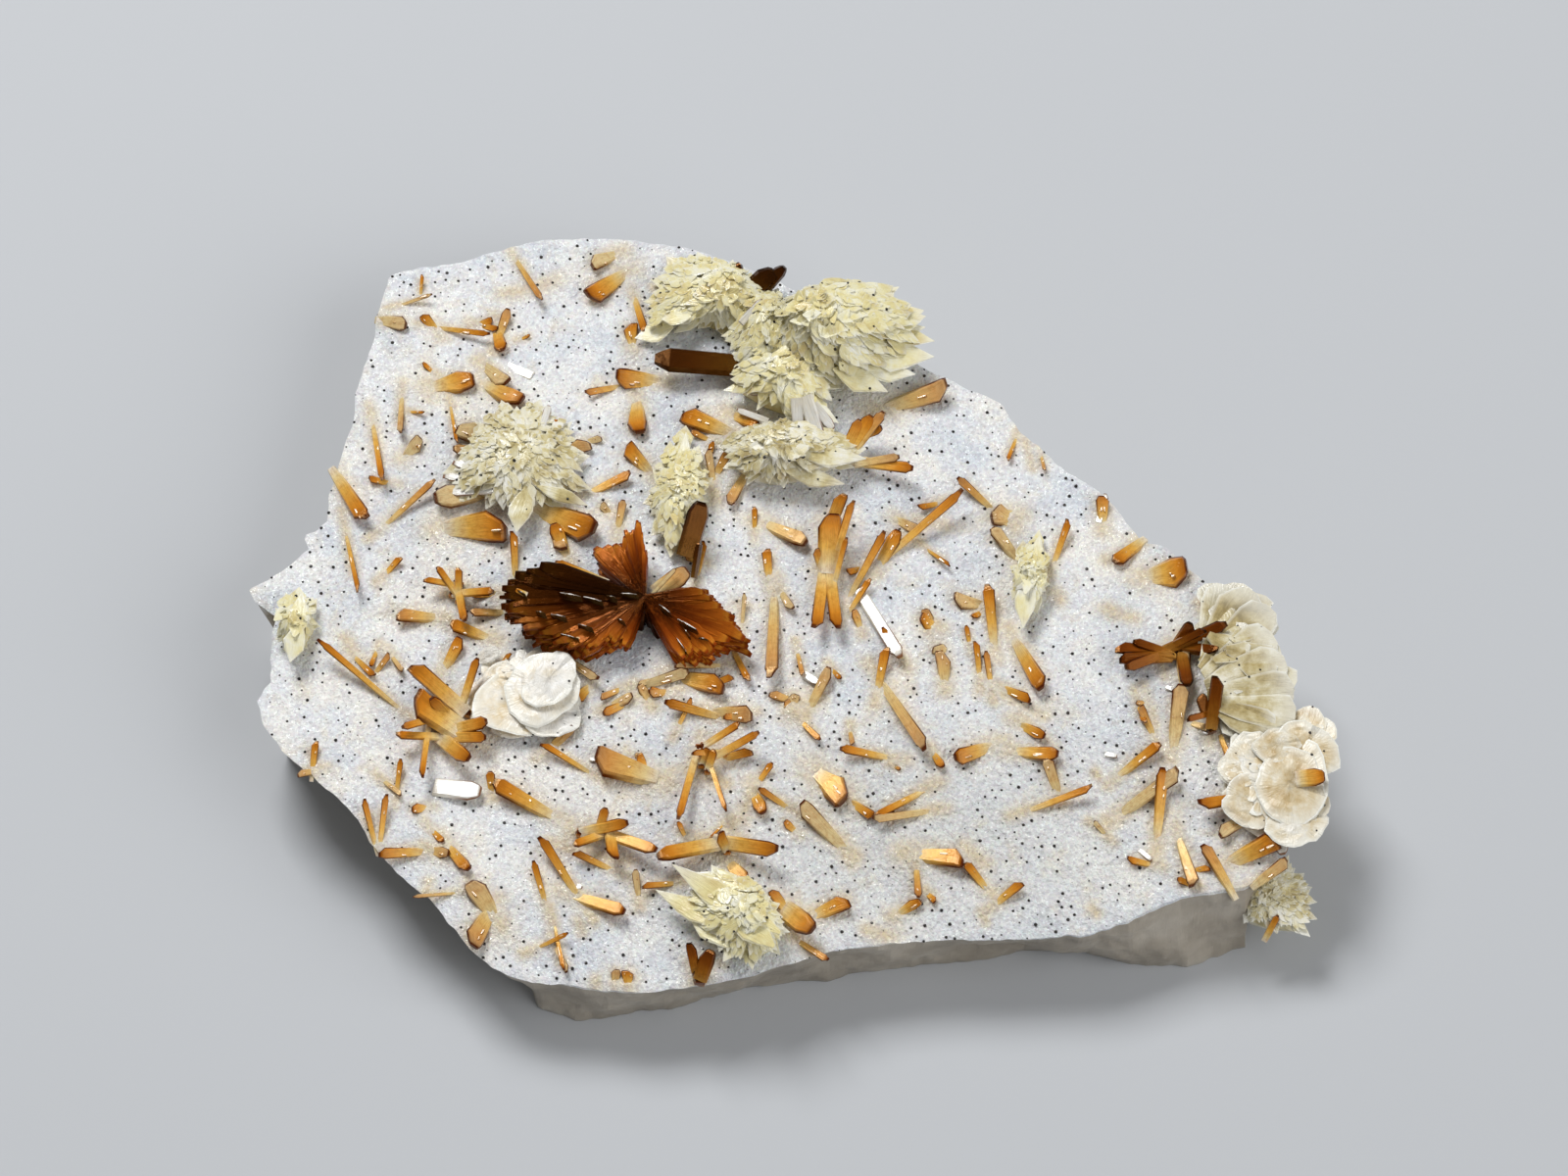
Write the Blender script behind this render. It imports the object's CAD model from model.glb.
"""Collinsite rosettes and eosphorite crystals on a thin broken plate of white drusy chalcedony."""

import math
import random

import bmesh
import bpy
import numpy as np
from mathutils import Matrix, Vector, noise
from mathutils.bvhtree import BVHTree


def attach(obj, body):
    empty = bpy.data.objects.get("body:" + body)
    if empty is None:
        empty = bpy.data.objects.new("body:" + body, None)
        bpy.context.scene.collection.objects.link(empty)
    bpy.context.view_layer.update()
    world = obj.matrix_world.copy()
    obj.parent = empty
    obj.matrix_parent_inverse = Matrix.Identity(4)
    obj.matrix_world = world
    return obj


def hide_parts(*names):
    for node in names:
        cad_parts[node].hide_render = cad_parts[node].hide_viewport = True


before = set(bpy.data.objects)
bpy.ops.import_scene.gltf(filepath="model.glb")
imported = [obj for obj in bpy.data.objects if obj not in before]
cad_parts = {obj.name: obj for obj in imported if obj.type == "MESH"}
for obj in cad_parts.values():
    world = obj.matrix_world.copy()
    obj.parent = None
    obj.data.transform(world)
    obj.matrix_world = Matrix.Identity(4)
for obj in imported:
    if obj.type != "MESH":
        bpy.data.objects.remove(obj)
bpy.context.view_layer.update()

# The view: the specimen lies on its back and is seen from 60 degrees above the table. A crystal is
# placed by the two points of the 1600 by 1200 frame where its root and its tip are seen.
MM = 0.001
PLATE_THICKNESS = 4.0 * MM
VIEW_ELEVATION = math.radians(60.0)
VIEW_DISTANCE = 260.0 * MM
PIXEL = 0.036 * MM
FRAME_WIDTH = 1600
FRAME_CENTRE = (800.0, 600.0)
AIM = Vector((-0.05 * MM, 0.41 * MM, PLATE_THICKNESS))
LOOK = Vector((0.0, math.cos(VIEW_ELEVATION), -math.sin(VIEW_ELEVATION)))
LOOK_UP = Vector((0.0, math.sin(VIEW_ELEVATION), math.cos(VIEW_ELEVATION)))
EYE = AIM - LOOK * VIEW_DISTANCE
UP = Vector((0.0, 0.0, 1.0))

camera_data = bpy.data.cameras.new("camera")
camera_data.sensor_width = 36.0
camera_data.lens = 36.0 * VIEW_DISTANCE / (FRAME_WIDTH * PIXEL)
camera_data.clip_start = 0.01
camera = bpy.data.objects.new("camera", camera_data)
camera.location = EYE
camera.rotation_euler = (math.radians(90.0) - VIEW_ELEVATION, 0.0, 0.0)
bpy.context.scene.collection.objects.link(camera)
bpy.context.scene.camera = camera


def seen_at(x, y, height):
    """The point of the level z = height that is seen at pixel x, y."""
    across = (x - FRAME_CENTRE[0]) * PIXEL / VIEW_DISTANCE
    upward = (FRAME_CENTRE[1] - y) * PIXEL / VIEW_DISTANCE
    ray = LOOK + Vector((across, 0.0, 0.0)) + LOOK_UP * upward
    return EYE + ray * ((height - EYE.z) / ray.z)


# The plate: a crust of white chalcedony about 4 mm thick, broken from a larger vein. Its upper face
# is a sugary druse of quartz grains a tenth of a millimetre across, over low swells. Its broken
# walls are dense, waxy and beige-grey, with shell-shaped chips. It lies on its flat broken back.
SWELLS = (
    ((860, 390), 5.0 * MM, 0.55 * MM),
    ((620, 600), 5.5 * MM, 0.40 * MM),
    ((420, 420), 6.0 * MM, 0.25 * MM),
    ((1230, 700), 4.5 * MM, 0.35 * MM),
    ((1000, 830), 6.0 * MM, -0.30 * MM),
)
SWELL_CENTRES = [(seen_at(*centre, PLATE_THICKNESS), radius, rise) for centre, radius, rise in SWELLS]
FALL_START = seen_at(760, 690, PLATE_THICKNESS).y
FALL_REACH = 11.0 * MM
FRONT_FALL = 0.9 * MM
UNDULATION = 0.16 * MM
UNDULATION_LENGTH = 5.0 * MM

# Edge of the druse, clockwise from its far left corner, and the pixels of wall seen below each point
RIM = (
    (398, 280, 0), (430, 272, 0), (470, 268, 0), (500, 258, 0), (545, 246, 0), (600, 243, 0),
    (650, 246, 0), (700, 252, 0), (740, 265, 0), (790, 285, 0), (830, 310, 0), (890, 346, 0),
    (955, 382, 0), (985, 395, 0), (1010, 407, 0), (1023, 414, 0), (1040, 440, 0), (1060, 457, 0),
    (1085, 478, 0), (1120, 500, 0), (1140, 520, 0), (1165, 553, 0), (1190, 558, 0), (1213, 580, 0),
    (1240, 600, 0), (1268, 625, 0), (1282, 665, 0), (1292, 710, 0), (1316, 745, 0), (1336, 790, 0),
    (1328, 835, 0), (1306, 866, 0), (1300, 890, 20), (1270, 905, 66), (1233, 911, 70), (1204, 914, 74),
    (1155, 937, 50), (1114, 953, 22), (1080, 955, 22), (1048, 957, 20), (1000, 959, 25), (950, 960, 28),
    (910, 962, 33), (850, 970, 33), (800, 985, 24), (760, 998, 16), (700, 1008, 22), (660, 1012, 25),
    (620, 1012, 30), (585, 1005, 40), (545, 1003, 28), (520, 995, 10), (500, 985, 4), (480, 968, 3),
    (460, 945, 2), (440, 920, 2), (415, 899, 2), (390, 875, 2), (378, 860, 2), (365, 835, 3),
    (345, 814, 8), (318, 792, 3), (292, 770, 2), (270, 742, 2), (262, 715, 0), (276, 695, 0),
    (276, 660, 0), (281, 628, 0), (260, 613, 0), (254, 601, 0), (275, 590, 0), (303, 571, 0),
    (314, 560, 0), (311, 546, 0), (324, 540, 0), (333, 532, 0), (336, 508, 0), (345, 480, 0),
    (352, 455, 0), (360, 430, 0), (363, 400, 0), (372, 372, 0), (380, 348, 0), (388, 312, 0),
)
REAR_UNDERCUT = 0.7 * MM
LARGEST_UNDERCUT = 2.4 * MM
LEDGE_RELIEF = 0.75 * MM
LEDGE_STEP = 0.71
LEDGE_LEVEL = 0.46
LEDGE_SWAY = 0.45
GRAIN_SPACING = 0.120 * MM
GRAIN_LIFT = 0.016 * MM
RIM_RAGGEDNESS = 0.07 * MM
WALL_ROWS = (0.06, 0.14, 0.24, 0.36, 0.50, 0.64, 0.78, 0.90, 1.0)
BACK_RINGS = (0.985, 0.955, 0.90, 0.82, 0.70, 0.55, 0.38, 0.20)
BACK_RELIEF = 0.16 * MM


def face_height(x, y):
    """Height of the drusy face over the flat back."""
    height = PLATE_THICKNESS
    for centre, radius, rise in SWELL_CENTRES:
        distance = math.hypot(x - centre.x, y - centre.y) / radius
        height += rise * math.exp(-distance * distance)
    forward = max(0.0, (FALL_START - y) / FALL_REACH)
    height -= FRONT_FALL * forward * forward
    place = Vector((x / UNDULATION_LENGTH, y / UNDULATION_LENGTH, 0.0))
    return height + UNDULATION * noise.noise(place)


def on_face(pixel, rise=0.0):
    """The point that is seen at a pixel and stands the given rise over the drusy face."""
    point = seen_at(*pixel, PLATE_THICKNESS + rise)
    for _ in range(6):
        point = seen_at(*pixel, face_height(point.x, point.y) + rise)
    return point


def depth_inside(points, outline):
    """For each point: its depth inside a closed outline, its nearest segment and the share along it."""
    runs = np.roll(outline, -1, axis=0) - outline
    nearest = np.full(len(points), np.inf)
    segment = np.zeros(len(points), dtype=int)
    share = np.zeros(len(points))
    inside = np.zeros(len(points), dtype=bool)
    for index, (start, run) in enumerate(zip(outline, runs)):
        reach = points - start
        part = np.clip(reach @ run / (run @ run), 0.0, 1.0)
        gap = np.linalg.norm(reach - part[:, None] * run, axis=1)
        nearer = gap < nearest
        nearest[nearer] = gap[nearer]
        segment[nearer] = index
        share[nearer] = part[nearer]
        crosses = (start[1] > points[:, 1]) != (start[1] + run[1] > points[:, 1])
        if run[1] != 0.0:
            crossing = start[0] + (points[:, 1] - start[1]) * run[0] / run[1]
            inside ^= crosses & (points[:, 0] < crossing)
    return np.where(inside, nearest, -nearest), segment, share


def broken_edge():
    """Rim, ledge and foot of the broken wall at each rim point, and the way out from the plate."""
    rim = [on_face((x, y)) for x, y, _ in RIM]
    ledges, feet, ways = [], [], []
    for index, point in enumerate(rim):
        along = (rim[(index + 1) % len(rim)] - rim[index - 1]).normalized()
        outward = Vector((-along.y, along.x, 0.0)).normalized()
        undercut = REAR_UNDERCUT
        if outward.y < -0.3:
            hidden = point.z * math.cos(VIEW_ELEVATION) - RIM[index][2] * PIXEL
            undercut = hidden / math.sin(VIEW_ELEVATION) / -outward.y
        base = point - outward * min(undercut, LARGEST_UNDERCUT)
        foot = Vector((base.x, base.y, 0.0))
        chip = LEDGE_RELIEF * noise.noise(Vector((index * LEDGE_STEP, 0.5, 0.5)))
        drop = LEDGE_LEVEL + LEDGE_SWAY * noise.noise(Vector((0.5, index * LEDGE_STEP, 0.5)))
        ledges.append(point.lerp(foot, drop) + outward * chip)
        feet.append(foot)
        ways.append(outward)
    return [np.array([list(point) for point in ring]) for ring in (rim, ledges, feet, ways)]


def grain_grid(outline, rng):
    """A jittered triangle grid inside the outline: its points, its triangles and its closed rim."""
    low, high = outline.min(axis=0), outline.max(axis=0)
    columns = int((high[0] - low[0]) / GRAIN_SPACING) + 2
    rows = int((high[1] - low[1]) / (GRAIN_SPACING * math.sqrt(0.75))) + 2
    column, row = np.meshgrid(np.arange(columns), np.arange(rows))
    x = low[0] + (column + 0.5 * (row % 2)) * GRAIN_SPACING
    y = low[1] + row * GRAIN_SPACING * math.sqrt(0.75)
    points = np.stack([x.ravel(), y.ravel()], axis=1)
    points += rng.uniform(-0.3, 0.3, points.shape) * GRAIN_SPACING
    number = (row * columns + column)[:-1, :-1].ravel()
    odd = (row[:-1, :-1] % 2).ravel()
    right, above = number + 1, number + columns
    slant = above + 1
    first = np.stack([number, right, np.where(odd, slant, above)], axis=1)
    second = np.stack([np.where(odd, number, right), slant, above], axis=1)
    triangles = np.concatenate([first, second])
    depth, _, _ = depth_inside(points, outline)
    triangles = triangles[(depth[triangles] > 0.2 * GRAIN_SPACING).all(axis=1)]
    while True:
        sides = np.concatenate([triangles[:, [0, 1]], triangles[:, [1, 2]], triangles[:, [2, 0]]])
        keys = sides[:, 0] * len(points) + sides[:, 1]
        back = sides[:, 1] * len(points) + sides[:, 0]
        open_sides = sides[~np.isin(keys, back)]
        starts, times = np.unique(open_sides[:, 0], return_counts=True)
        pinched = starts[times > 1]
        if len(pinched) == 0:
            break
        triangles = triangles[~np.isin(triangles, pinched).any(axis=1)]
    following = dict(open_sides.tolist())
    loops = []
    while following:
        start = next(iter(following))
        loop = [start]
        after = following.pop(start)
        while after != start:
            loop.append(after)
            after = following.pop(after)
        loops.append(loop)
    return points, triangles, max(loops, key=len)


rim_ring, ledge_ring, foot_ring, way_ring = broken_edge()
grain_rng = np.random.default_rng(11)
grid, druse_faces, rim_loop = grain_grid(rim_ring[:, :2], grain_rng)
_, rim_segment, rim_share = depth_inside(grid[rim_loop], rim_ring[:, :2])


def along_ring(ring):
    """The points of a ring of the broken edge at each vertex of the grid's rim."""
    after = ring[(rim_segment + 1) % len(ring)]
    return ring[rim_segment] + (after - ring[rim_segment]) * rim_share[:, None]


rim_way = along_ring(way_ring)
rim_way /= np.linalg.norm(rim_way, axis=1)[:, None]
rim_line = along_ring(rim_ring)
used, renumbered = np.unique(druse_faces, return_inverse=True)
druse_faces = renumbered.reshape(-1, 3)
grid = grid[used]
rim_loop = np.searchsorted(used, rim_loop)
for number, place, way in zip(rim_loop, rim_line, rim_way):
    ragged = RIM_RAGGEDNESS * noise.noise(Vector(place) / (0.45 * MM))
    grid[number] = place[:2] + way[:2] * ragged
SPARKLE_CENTRE = seen_at(930, 850, PLATE_THICKNESS)
SPARKLE_REACH = 8.0 * MM
druse_points = np.zeros((len(grid), 3))
druse_points[:, :2] = grid
sparkle = np.exp(-((grid[:, 0] - SPARKLE_CENTRE.x) ** 2 / 4 + (grid[:, 1] - SPARKLE_CENTRE.y) ** 2) / SPARKLE_REACH**2 * 3)
for number, (x, y) in enumerate(grid):
    here = Vector((x, y, 0.0))
    crust = 0.020 * MM * noise.noise(here / (0.5 * MM)) + 0.090 * MM * noise.noise(here / (1.8 * MM))
    druse_points[number, 2] = face_height(x, y) + crust
inner = np.ones(len(grid), dtype=bool)
inner[rim_loop] = False
lift = grain_rng.normal(0.0, 1.0, len(grid)) * GRAIN_LIFT * (0.75 + 0.8 * sparkle)
druse_points[inner, 2] += np.clip(lift, -2.2 * GRAIN_LIFT, 2.2 * GRAIN_LIFT)[inner]
druse_points[rim_loop, 2] -= 0.03 * MM

rings = [rim_loop]
plate_points = [druse_points]
plate_faces = [druse_faces]
plate_minerals = [np.zeros(len(druse_faces), dtype=int)]
count = len(rim_loop)


def add_ring(points, mineral):
    """Joins a new ring of points to the last one, round the plate."""
    start = sum(len(block) for block in plate_points)
    ring = np.arange(start, start + count)
    before = np.asarray(rings[-1])
    plate_points.append(points)
    plate_faces.append(np.stack([before, ring, np.roll(before, -1)], axis=1))
    plate_faces.append(np.stack([ring, np.roll(ring, -1), np.roll(before, -1)], axis=1))
    plate_minerals.append(np.full(2 * count, mineral))
    rings.append(ring)


rim_top = druse_points[rim_loop]
ledge_line = along_ring(ledge_ring)
foot_line = along_ring(foot_ring)
for half, (upper, lower) in enumerate(((rim_top, ledge_line), (ledge_line, foot_line))):
    for share in WALL_ROWS:
        points = upper + (lower - upper) * share
        for index, place in enumerate(points):
            here = Vector(place)
            shell = noise.noise(here / (1.3 * MM)) * 0.20 * MM + noise.noise(here / (0.4 * MM)) * 0.06 * MM
            fade = min(1.0, 4.0 * share) if half == 0 else 1.0
            points[index, :2] += rim_way[index, :2] * shell * fade
        if half == 1 and share == 1.0:
            points[:, 2] = 0.0
        add_ring(points, 0 if half == 0 and share < 0.1 else 1)
foot_points = plate_points[-1]
middle = foot_points.mean(axis=0)
for share in BACK_RINGS:
    points = middle + (foot_points - middle) * share
    for index, place in enumerate(points):
        here = Vector((place[0], place[1], 0.0))
        points[index, 2] = BACK_RELIEF * abs(noise.noise(here / (2.2 * MM))) + 0.03 * MM
    add_ring(points, 1)
start = sum(len(block) for block in plate_points)
plate_points.append(middle[None, :] + np.array([[0.0, 0.0, 0.05 * MM]]))
last = np.asarray(rings[-1])
plate_faces.append(np.stack([last, np.full(count, start), np.roll(last, -1)], axis=1))
plate_minerals.append(np.full(count, 1))


def new_piece(name, points, faces):
    """A mesh object of that name in the scene."""
    mesh = bpy.data.meshes.new(name)
    mesh.from_pydata([tuple(point) for point in points], [], [tuple(face) for face in faces])
    piece = bpy.data.objects.new(name, mesh)
    bpy.context.scene.collection.objects.link(piece)
    return piece


def add_values(piece, name, values):
    """Gives each vertex of a piece one value, or one vector, under a name that its material reads."""
    kind, field = ("FLOAT", "value") if np.ndim(values[0]) == 0 else ("FLOAT_VECTOR", "vector")
    attribute = piece.data.attributes.new(name, kind, "POINT")
    attribute.data.foreach_set(field, np.asarray(values, dtype=np.float32).ravel())


plate = new_piece("drusy_plate", np.concatenate(plate_points), np.concatenate(plate_faces))
plate.data.polygons.foreach_set("material_index", np.concatenate(plate_minerals).astype(np.int32))
plate_sparkle = np.zeros(len(plate.data.vertices))
plate_sparkle[:len(sparkle)] = sparkle
add_values(plate, "sparkle", plate_sparkle)
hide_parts("matrix_plate")
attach(plate, "root")


def linear(code):
    """A hex sRGB colour as linear red, green, blue and alpha."""
    values = [int(code[place:place + 2], 16) / 255.0 for place in (0, 2, 4)]
    return (*[v / 12.92 if v <= 0.04045 else ((v + 0.055) / 1.055) ** 2.4 for v in values], 1.0)


def mineral(name, values):
    """A new material with these values on its Principled shader."""
    material = bpy.data.materials.new(name)
    material.use_nodes = True
    shader = material.node_tree.nodes["Principled BSDF"]
    for socket, value in values.items():
        shader.inputs[socket].default_value = value
    return material


def add(material, kind, settings, sockets):
    """Adds one node with its settings, its values and its links."""
    node = material.node_tree.nodes.new(kind)
    for key, value in settings.items():
        if key == "stops":
            node.color_ramp.elements[0].position, node.color_ramp.elements[-1].position = value[0][0], value[-1][0]
            for place, _ in value[1:-1]:
                node.color_ramp.elements.new(place)
            for element, (_, code) in zip(node.color_ramp.elements, value):
                element.color = linear(code)
        else:
            setattr(node, key, value)
    for key, value in sockets.items():
        if isinstance(value, bpy.types.NodeSocket):
            material.node_tree.links.new(value, node.inputs[key])
        else:
            node.inputs[key].default_value = value
    return node


def to_shader(material, **sockets):
    """Links outputs to the Principled shader's sockets, named with _ for a space."""
    shader = material.node_tree.nodes["Principled BSDF"]
    for key, output in sockets.items():
        material.node_tree.links.new(output, shader.inputs[key.replace("_", " ")])


# Quartz grains, grown and not worked: white with a cold cast, translucent, each face a small mirror.
# The crust is cloudy over 2 mm, stained tan round the roots of brown crystals, and greyer where the
# grains are coarsest.
druse = mineral("white quartz druse", {"Roughness": 0.24, "IOR": 1.54, "Subsurface Weight": 0.2,
                                       "Subsurface Scale": 0.0004, "Subsurface Radius": (1.0, 1.0, 1.0)})
place = add(druse, "ShaderNodeTexCoord", {}, {}).outputs["Object"]
cloud = add(druse, "ShaderNodeTexNoise", {}, {"Vector": place, "Scale": 420.0, "Detail": 4.0, "Roughness": 0.6})
cloud_colour = add(druse, "ShaderNodeValToRGB",
                   {"stops": ((0.36, "DCE1E8"), (0.50, "EBEDF0"), (0.64, "F5F3EE"))},
                   {"Fac": cloud.outputs["Fac"]})
coarse = add(druse, "ShaderNodeAttribute", {"attribute_name": "sparkle"}, {})
greyed = add(druse, "ShaderNodeMix", {"data_type": "RGBA"},
             {"Factor": coarse.outputs["Fac"], "A": cloud_colour.outputs["Color"], "B": linear("DCDDDC")})
stain = add(druse, "ShaderNodeAttribute", {"attribute_name": "stain"}, {})
stain_patch = add(druse, "ShaderNodeTexNoise", {}, {"Vector": place, "Scale": 1500.0, "Detail": 2.0})
stain_cover = add(druse, "ShaderNodeMapRange", {}, {"Value": stain_patch.outputs["Fac"], "From Min": 0.25,
                                                    "From Max": 0.6, "To Min": 0.40, "To Max": 0.66})
cloud_patch = add(druse, "ShaderNodeTexNoise", {}, {"Vector": place, "Scale": 760.0, "Detail": 5.0, "Roughness": 0.6,
                                                    "Distortion": 0.6})
tan_cloud = add(druse, "ShaderNodeMapRange", {}, {"Value": cloud_patch.outputs["Fac"], "From Min": 0.54,
                                                  "From Max": 0.72, "To Max": 0.38})
clouded = add(druse, "ShaderNodeMix", {"data_type": "RGBA"},
              {"Factor": tan_cloud.outputs["Result"], "A": greyed.outputs["Result"], "B": linear("DFCBA0")})
stain_share = add(druse, "ShaderNodeMath", {"operation": "MULTIPLY", "use_clamp": True},
                  {0: stain.outputs["Fac"], 1: stain_cover.outputs["Result"]})
stained = add(druse, "ShaderNodeMix", {"data_type": "RGBA"},
              {"Factor": stain_share.outputs["Value"], "A": clouded.outputs["Result"], "B": linear("D8BE86")})
cell = add(druse, "ShaderNodeTexVoronoi", {}, {"Vector": place, "Scale": 11000.0})
grain_tone = add(druse, "ShaderNodeMapRange", {}, {"Value": cell.outputs["Color"], "From Min": 0.2, "From Max": 0.8,
                                                   "To Min": 0.82, "To Max": 1.06})
tinted = add(druse, "ShaderNodeMix", {"data_type": "RGBA"},
             {"Factor": 0.05, "A": stained.outputs["Result"], "B": cell.outputs["Color"]})
toned = add(druse, "ShaderNodeVectorMath", {"operation": "SCALE"},
            {"Vector": tinted.outputs["Result"], "Scale": grain_tone.outputs["Result"]})
fine = add(druse, "ShaderNodeTexVoronoi", {}, {"Vector": place, "Scale": 13000.0})
sugar = add(druse, "ShaderNodeBump", {}, {"Strength": 0.7, "Distance": 0.00004,
                                          "Height": fine.outputs["Distance"]})
gloss = add(druse, "ShaderNodeMapRange", {}, {"Value": cell.outputs["Color"], "From Min": 0.62, "From Max": 0.72,
                                              "To Min": 0.55, "To Max": 0.10})
to_shader(druse, Base_Color=toned.outputs["Vector"], Normal=sugar.outputs["Normal"],
          Roughness=gloss.outputs["Result"])

# Broken chalcedony: dense and waxy, with a dull gloss, beige-grey with paler bands along the vein.
waxy = mineral("broken chalcedony", {"Roughness": 0.42, "IOR": 1.54, "Subsurface Weight": 0.3,
                                     "Subsurface Scale": 0.0006, "Subsurface Radius": (1.0, 0.9, 0.8)})
place = add(waxy, "ShaderNodeTexCoord", {}, {}).outputs["Object"]
stretched = add(waxy, "ShaderNodeMapping", {}, {"Vector": place, "Scale": (1.0, 1.0, 1.8)})
bands = add(waxy, "ShaderNodeTexNoise", {}, {"Vector": stretched.outputs["Vector"], "Scale": 380.0, "Detail": 6.0})
wax_colour = add(waxy, "ShaderNodeValToRGB",
                 {"stops": ((0.30, "958C7F"), (0.50, "A89F91"), (0.68, "BAB2A5"), (0.80, "AEA79C"))},
                 {"Fac": bands.outputs["Fac"]})
pits = add(waxy, "ShaderNodeTexNoise", {}, {"Vector": place, "Scale": 5200.0, "Detail": 4.0})
grain = add(waxy, "ShaderNodeBump", {}, {"Strength": 0.45, "Distance": 0.00006, "Height": pits.outputs["Fac"]})
to_shader(waxy, Base_Color=wax_colour.outputs["Color"], Normal=grain.outputs["Normal"])
plate.data.materials.append(druse)
plate.data.materials.append(waxy)

# Black grains: specks of a black iron or manganese mineral, 0.07 to 0.2 mm across, that are peppered
# over the whole druse and half sunk in it.
GRAIN_COUNT_PER_M2 = 4.0e6
GRAIN_LEAST_GAP = 0.24 * MM


def scattered(source, name, seed, amount=GRAIN_COUNT_PER_M2):
    """Black grains over the upper faces of a piece, as a mesh of their own."""
    tree = bpy.data.node_groups.new(name, "GeometryNodeTree")
    tree.interface.new_socket("Geometry", in_out="INPUT", socket_type="NodeSocketGeometry")
    sizes = {}
    for label, value in (("Grains per square metre", amount), ("Least gap", GRAIN_LEAST_GAP),
                         ("Smallest", 0.016 * MM), ("Largest", 0.076 * MM)):
        socket = tree.interface.new_socket(label, in_out="INPUT", socket_type="NodeSocketFloat")
        sizes[socket.identifier] = value
    tree.interface.new_socket("Geometry", in_out="OUTPUT", socket_type="NodeSocketGeometry")

    def step(kind, settings=(), **sockets):
        node = tree.nodes.new(kind)
        for key, value in dict(settings).items():
            setattr(node, key, value)
        for key, value in sockets.items():
            socket = node.inputs[key.replace("_", " ")]
            if isinstance(value, bpy.types.NodeSocket):
                tree.links.new(value, socket)
            else:
                socket.default_value = value
        return node

    given = step("NodeGroupInput").outputs
    upright = step("ShaderNodeSeparateXYZ", Vector=step("GeometryNodeInputNormal").outputs["Normal"])
    upper = tree.nodes.new("FunctionNodeCompare")
    upper.inputs["B"].default_value = 0.6
    tree.links.new(upright.outputs["Z"], upper.inputs["A"])
    spots = step("GeometryNodeDistributePointsOnFaces", {"distribute_method": "POISSON"},
                 Mesh=given["Geometry"], Selection=upper.outputs["Result"],
                 Distance_Min=given["Least gap"], Density_Max=given["Grains per square metre"], Seed=seed)
    ball = step("GeometryNodeMeshIcoSphere", Radius=1.0, Subdivisions=1)
    size = step("FunctionNodeRandomValue", {"data_type": "FLOAT"}, Seed=seed + 1)
    tree.links.new(given["Smallest"], size.inputs[2])
    tree.links.new(given["Largest"], size.inputs[3])
    turn = step("FunctionNodeRandomValue", {"data_type": "FLOAT_VECTOR"}, Seed=seed + 2)
    turn.inputs[1].default_value = (6.28, 6.28, 6.28)
    placed = step("GeometryNodeInstanceOnPoints", Points=spots.outputs["Points"],
                  Instance=ball.outputs["Mesh"], Scale=size.outputs[1], Rotation=turn.outputs[0])
    real = step("GeometryNodeRealizeInstances", Geometry=placed.outputs["Instances"])
    dressed = step("GeometryNodeSetMaterial", Geometry=real.outputs["Geometry"], Material=black)
    tree.links.new(dressed.outputs["Geometry"], tree.nodes.new("NodeGroupOutput").inputs[0])
    modifier = source.modifiers.new(name, "NODES")
    modifier.node_group = tree
    for identifier, value in sizes.items():
        modifier[identifier] = value
    graph = bpy.context.evaluated_depsgraph_get()
    mesh = bpy.data.meshes.new_from_object(source.evaluated_get(graph))
    source.modifiers.remove(modifier)
    grains = bpy.data.objects.new(name, mesh)
    bpy.context.scene.collection.objects.link(grains)
    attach(grains, "root")
    return grains


black = mineral("black oxide grain", {"Base Color": linear("14110F"), "Roughness": 0.4})
tint = add(black, "ShaderNodeTexNoise", {}, {"Vector": add(black, "ShaderNodeTexCoord", {}, {}).outputs["Object"],
                                             "Scale": 3000.0})
tint_colour = add(black, "ShaderNodeValToRGB", {"stops": ((0.4, "0D0B0A"), (0.65, "2C221B"))},
                  {"Fac": tint.outputs["Fac"]})
to_shader(black, Base_Color=tint_colour.outputs["Color"])
scattered(plate, "black_grains", 5)

# Eosphorite blades: flat orthorhombic crystals with parallel sides and a blunt wedge at the free end.
# They grew out of the druse, so a root is milky and stains the quartz tan, and the clear free half
# is honey amber with a dark red-brown outline where one looks through its edges.
UPPER_LEFT_CRYSTALS = (
    ((387, 326), (415, 331), 0.45), ((446, 338), (431, 321), 0.32), ((485, 330), (508, 336), 0.20),
    ((506, 350), (519, 315), 0.30), ((506, 334), (512, 358), 0.40), ((446, 394), (484, 386), 0.70), ((447, 384), (431, 370), 0.16),
    ((496, 374), (516, 392), 0.50), ((498, 394), (532, 410), 0.60), ((525, 262), (553, 306), 0.20), ((634, 281), (601, 304), 0.62), ((628, 260), (602, 269), 0.50),
    ((400, 493), (376, 488), 0.22), ((415, 463), (431, 448), 0.42), ((342, 483), (372, 530), 0.48),
    ((392, 536), (444, 489), 0.22), ((391, 588), (409, 568), 0.22), ((462, 538), (517, 536), 0.92), ((443, 333), (500, 341), 0.18), ((484, 332), (503, 327), 0.26),
    ((506, 452), (467, 434), 0.66), ((499, 461), (462, 458), 0.34), ((506, 498), (443, 509), 0.72),
    ((498, 506), (469, 498), 0.46), ((552, 434), (571, 430), 0.20), ((530, 346), (541, 342), 0.12),
    ((526, 592), (524, 542), 0.25),
)
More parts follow.
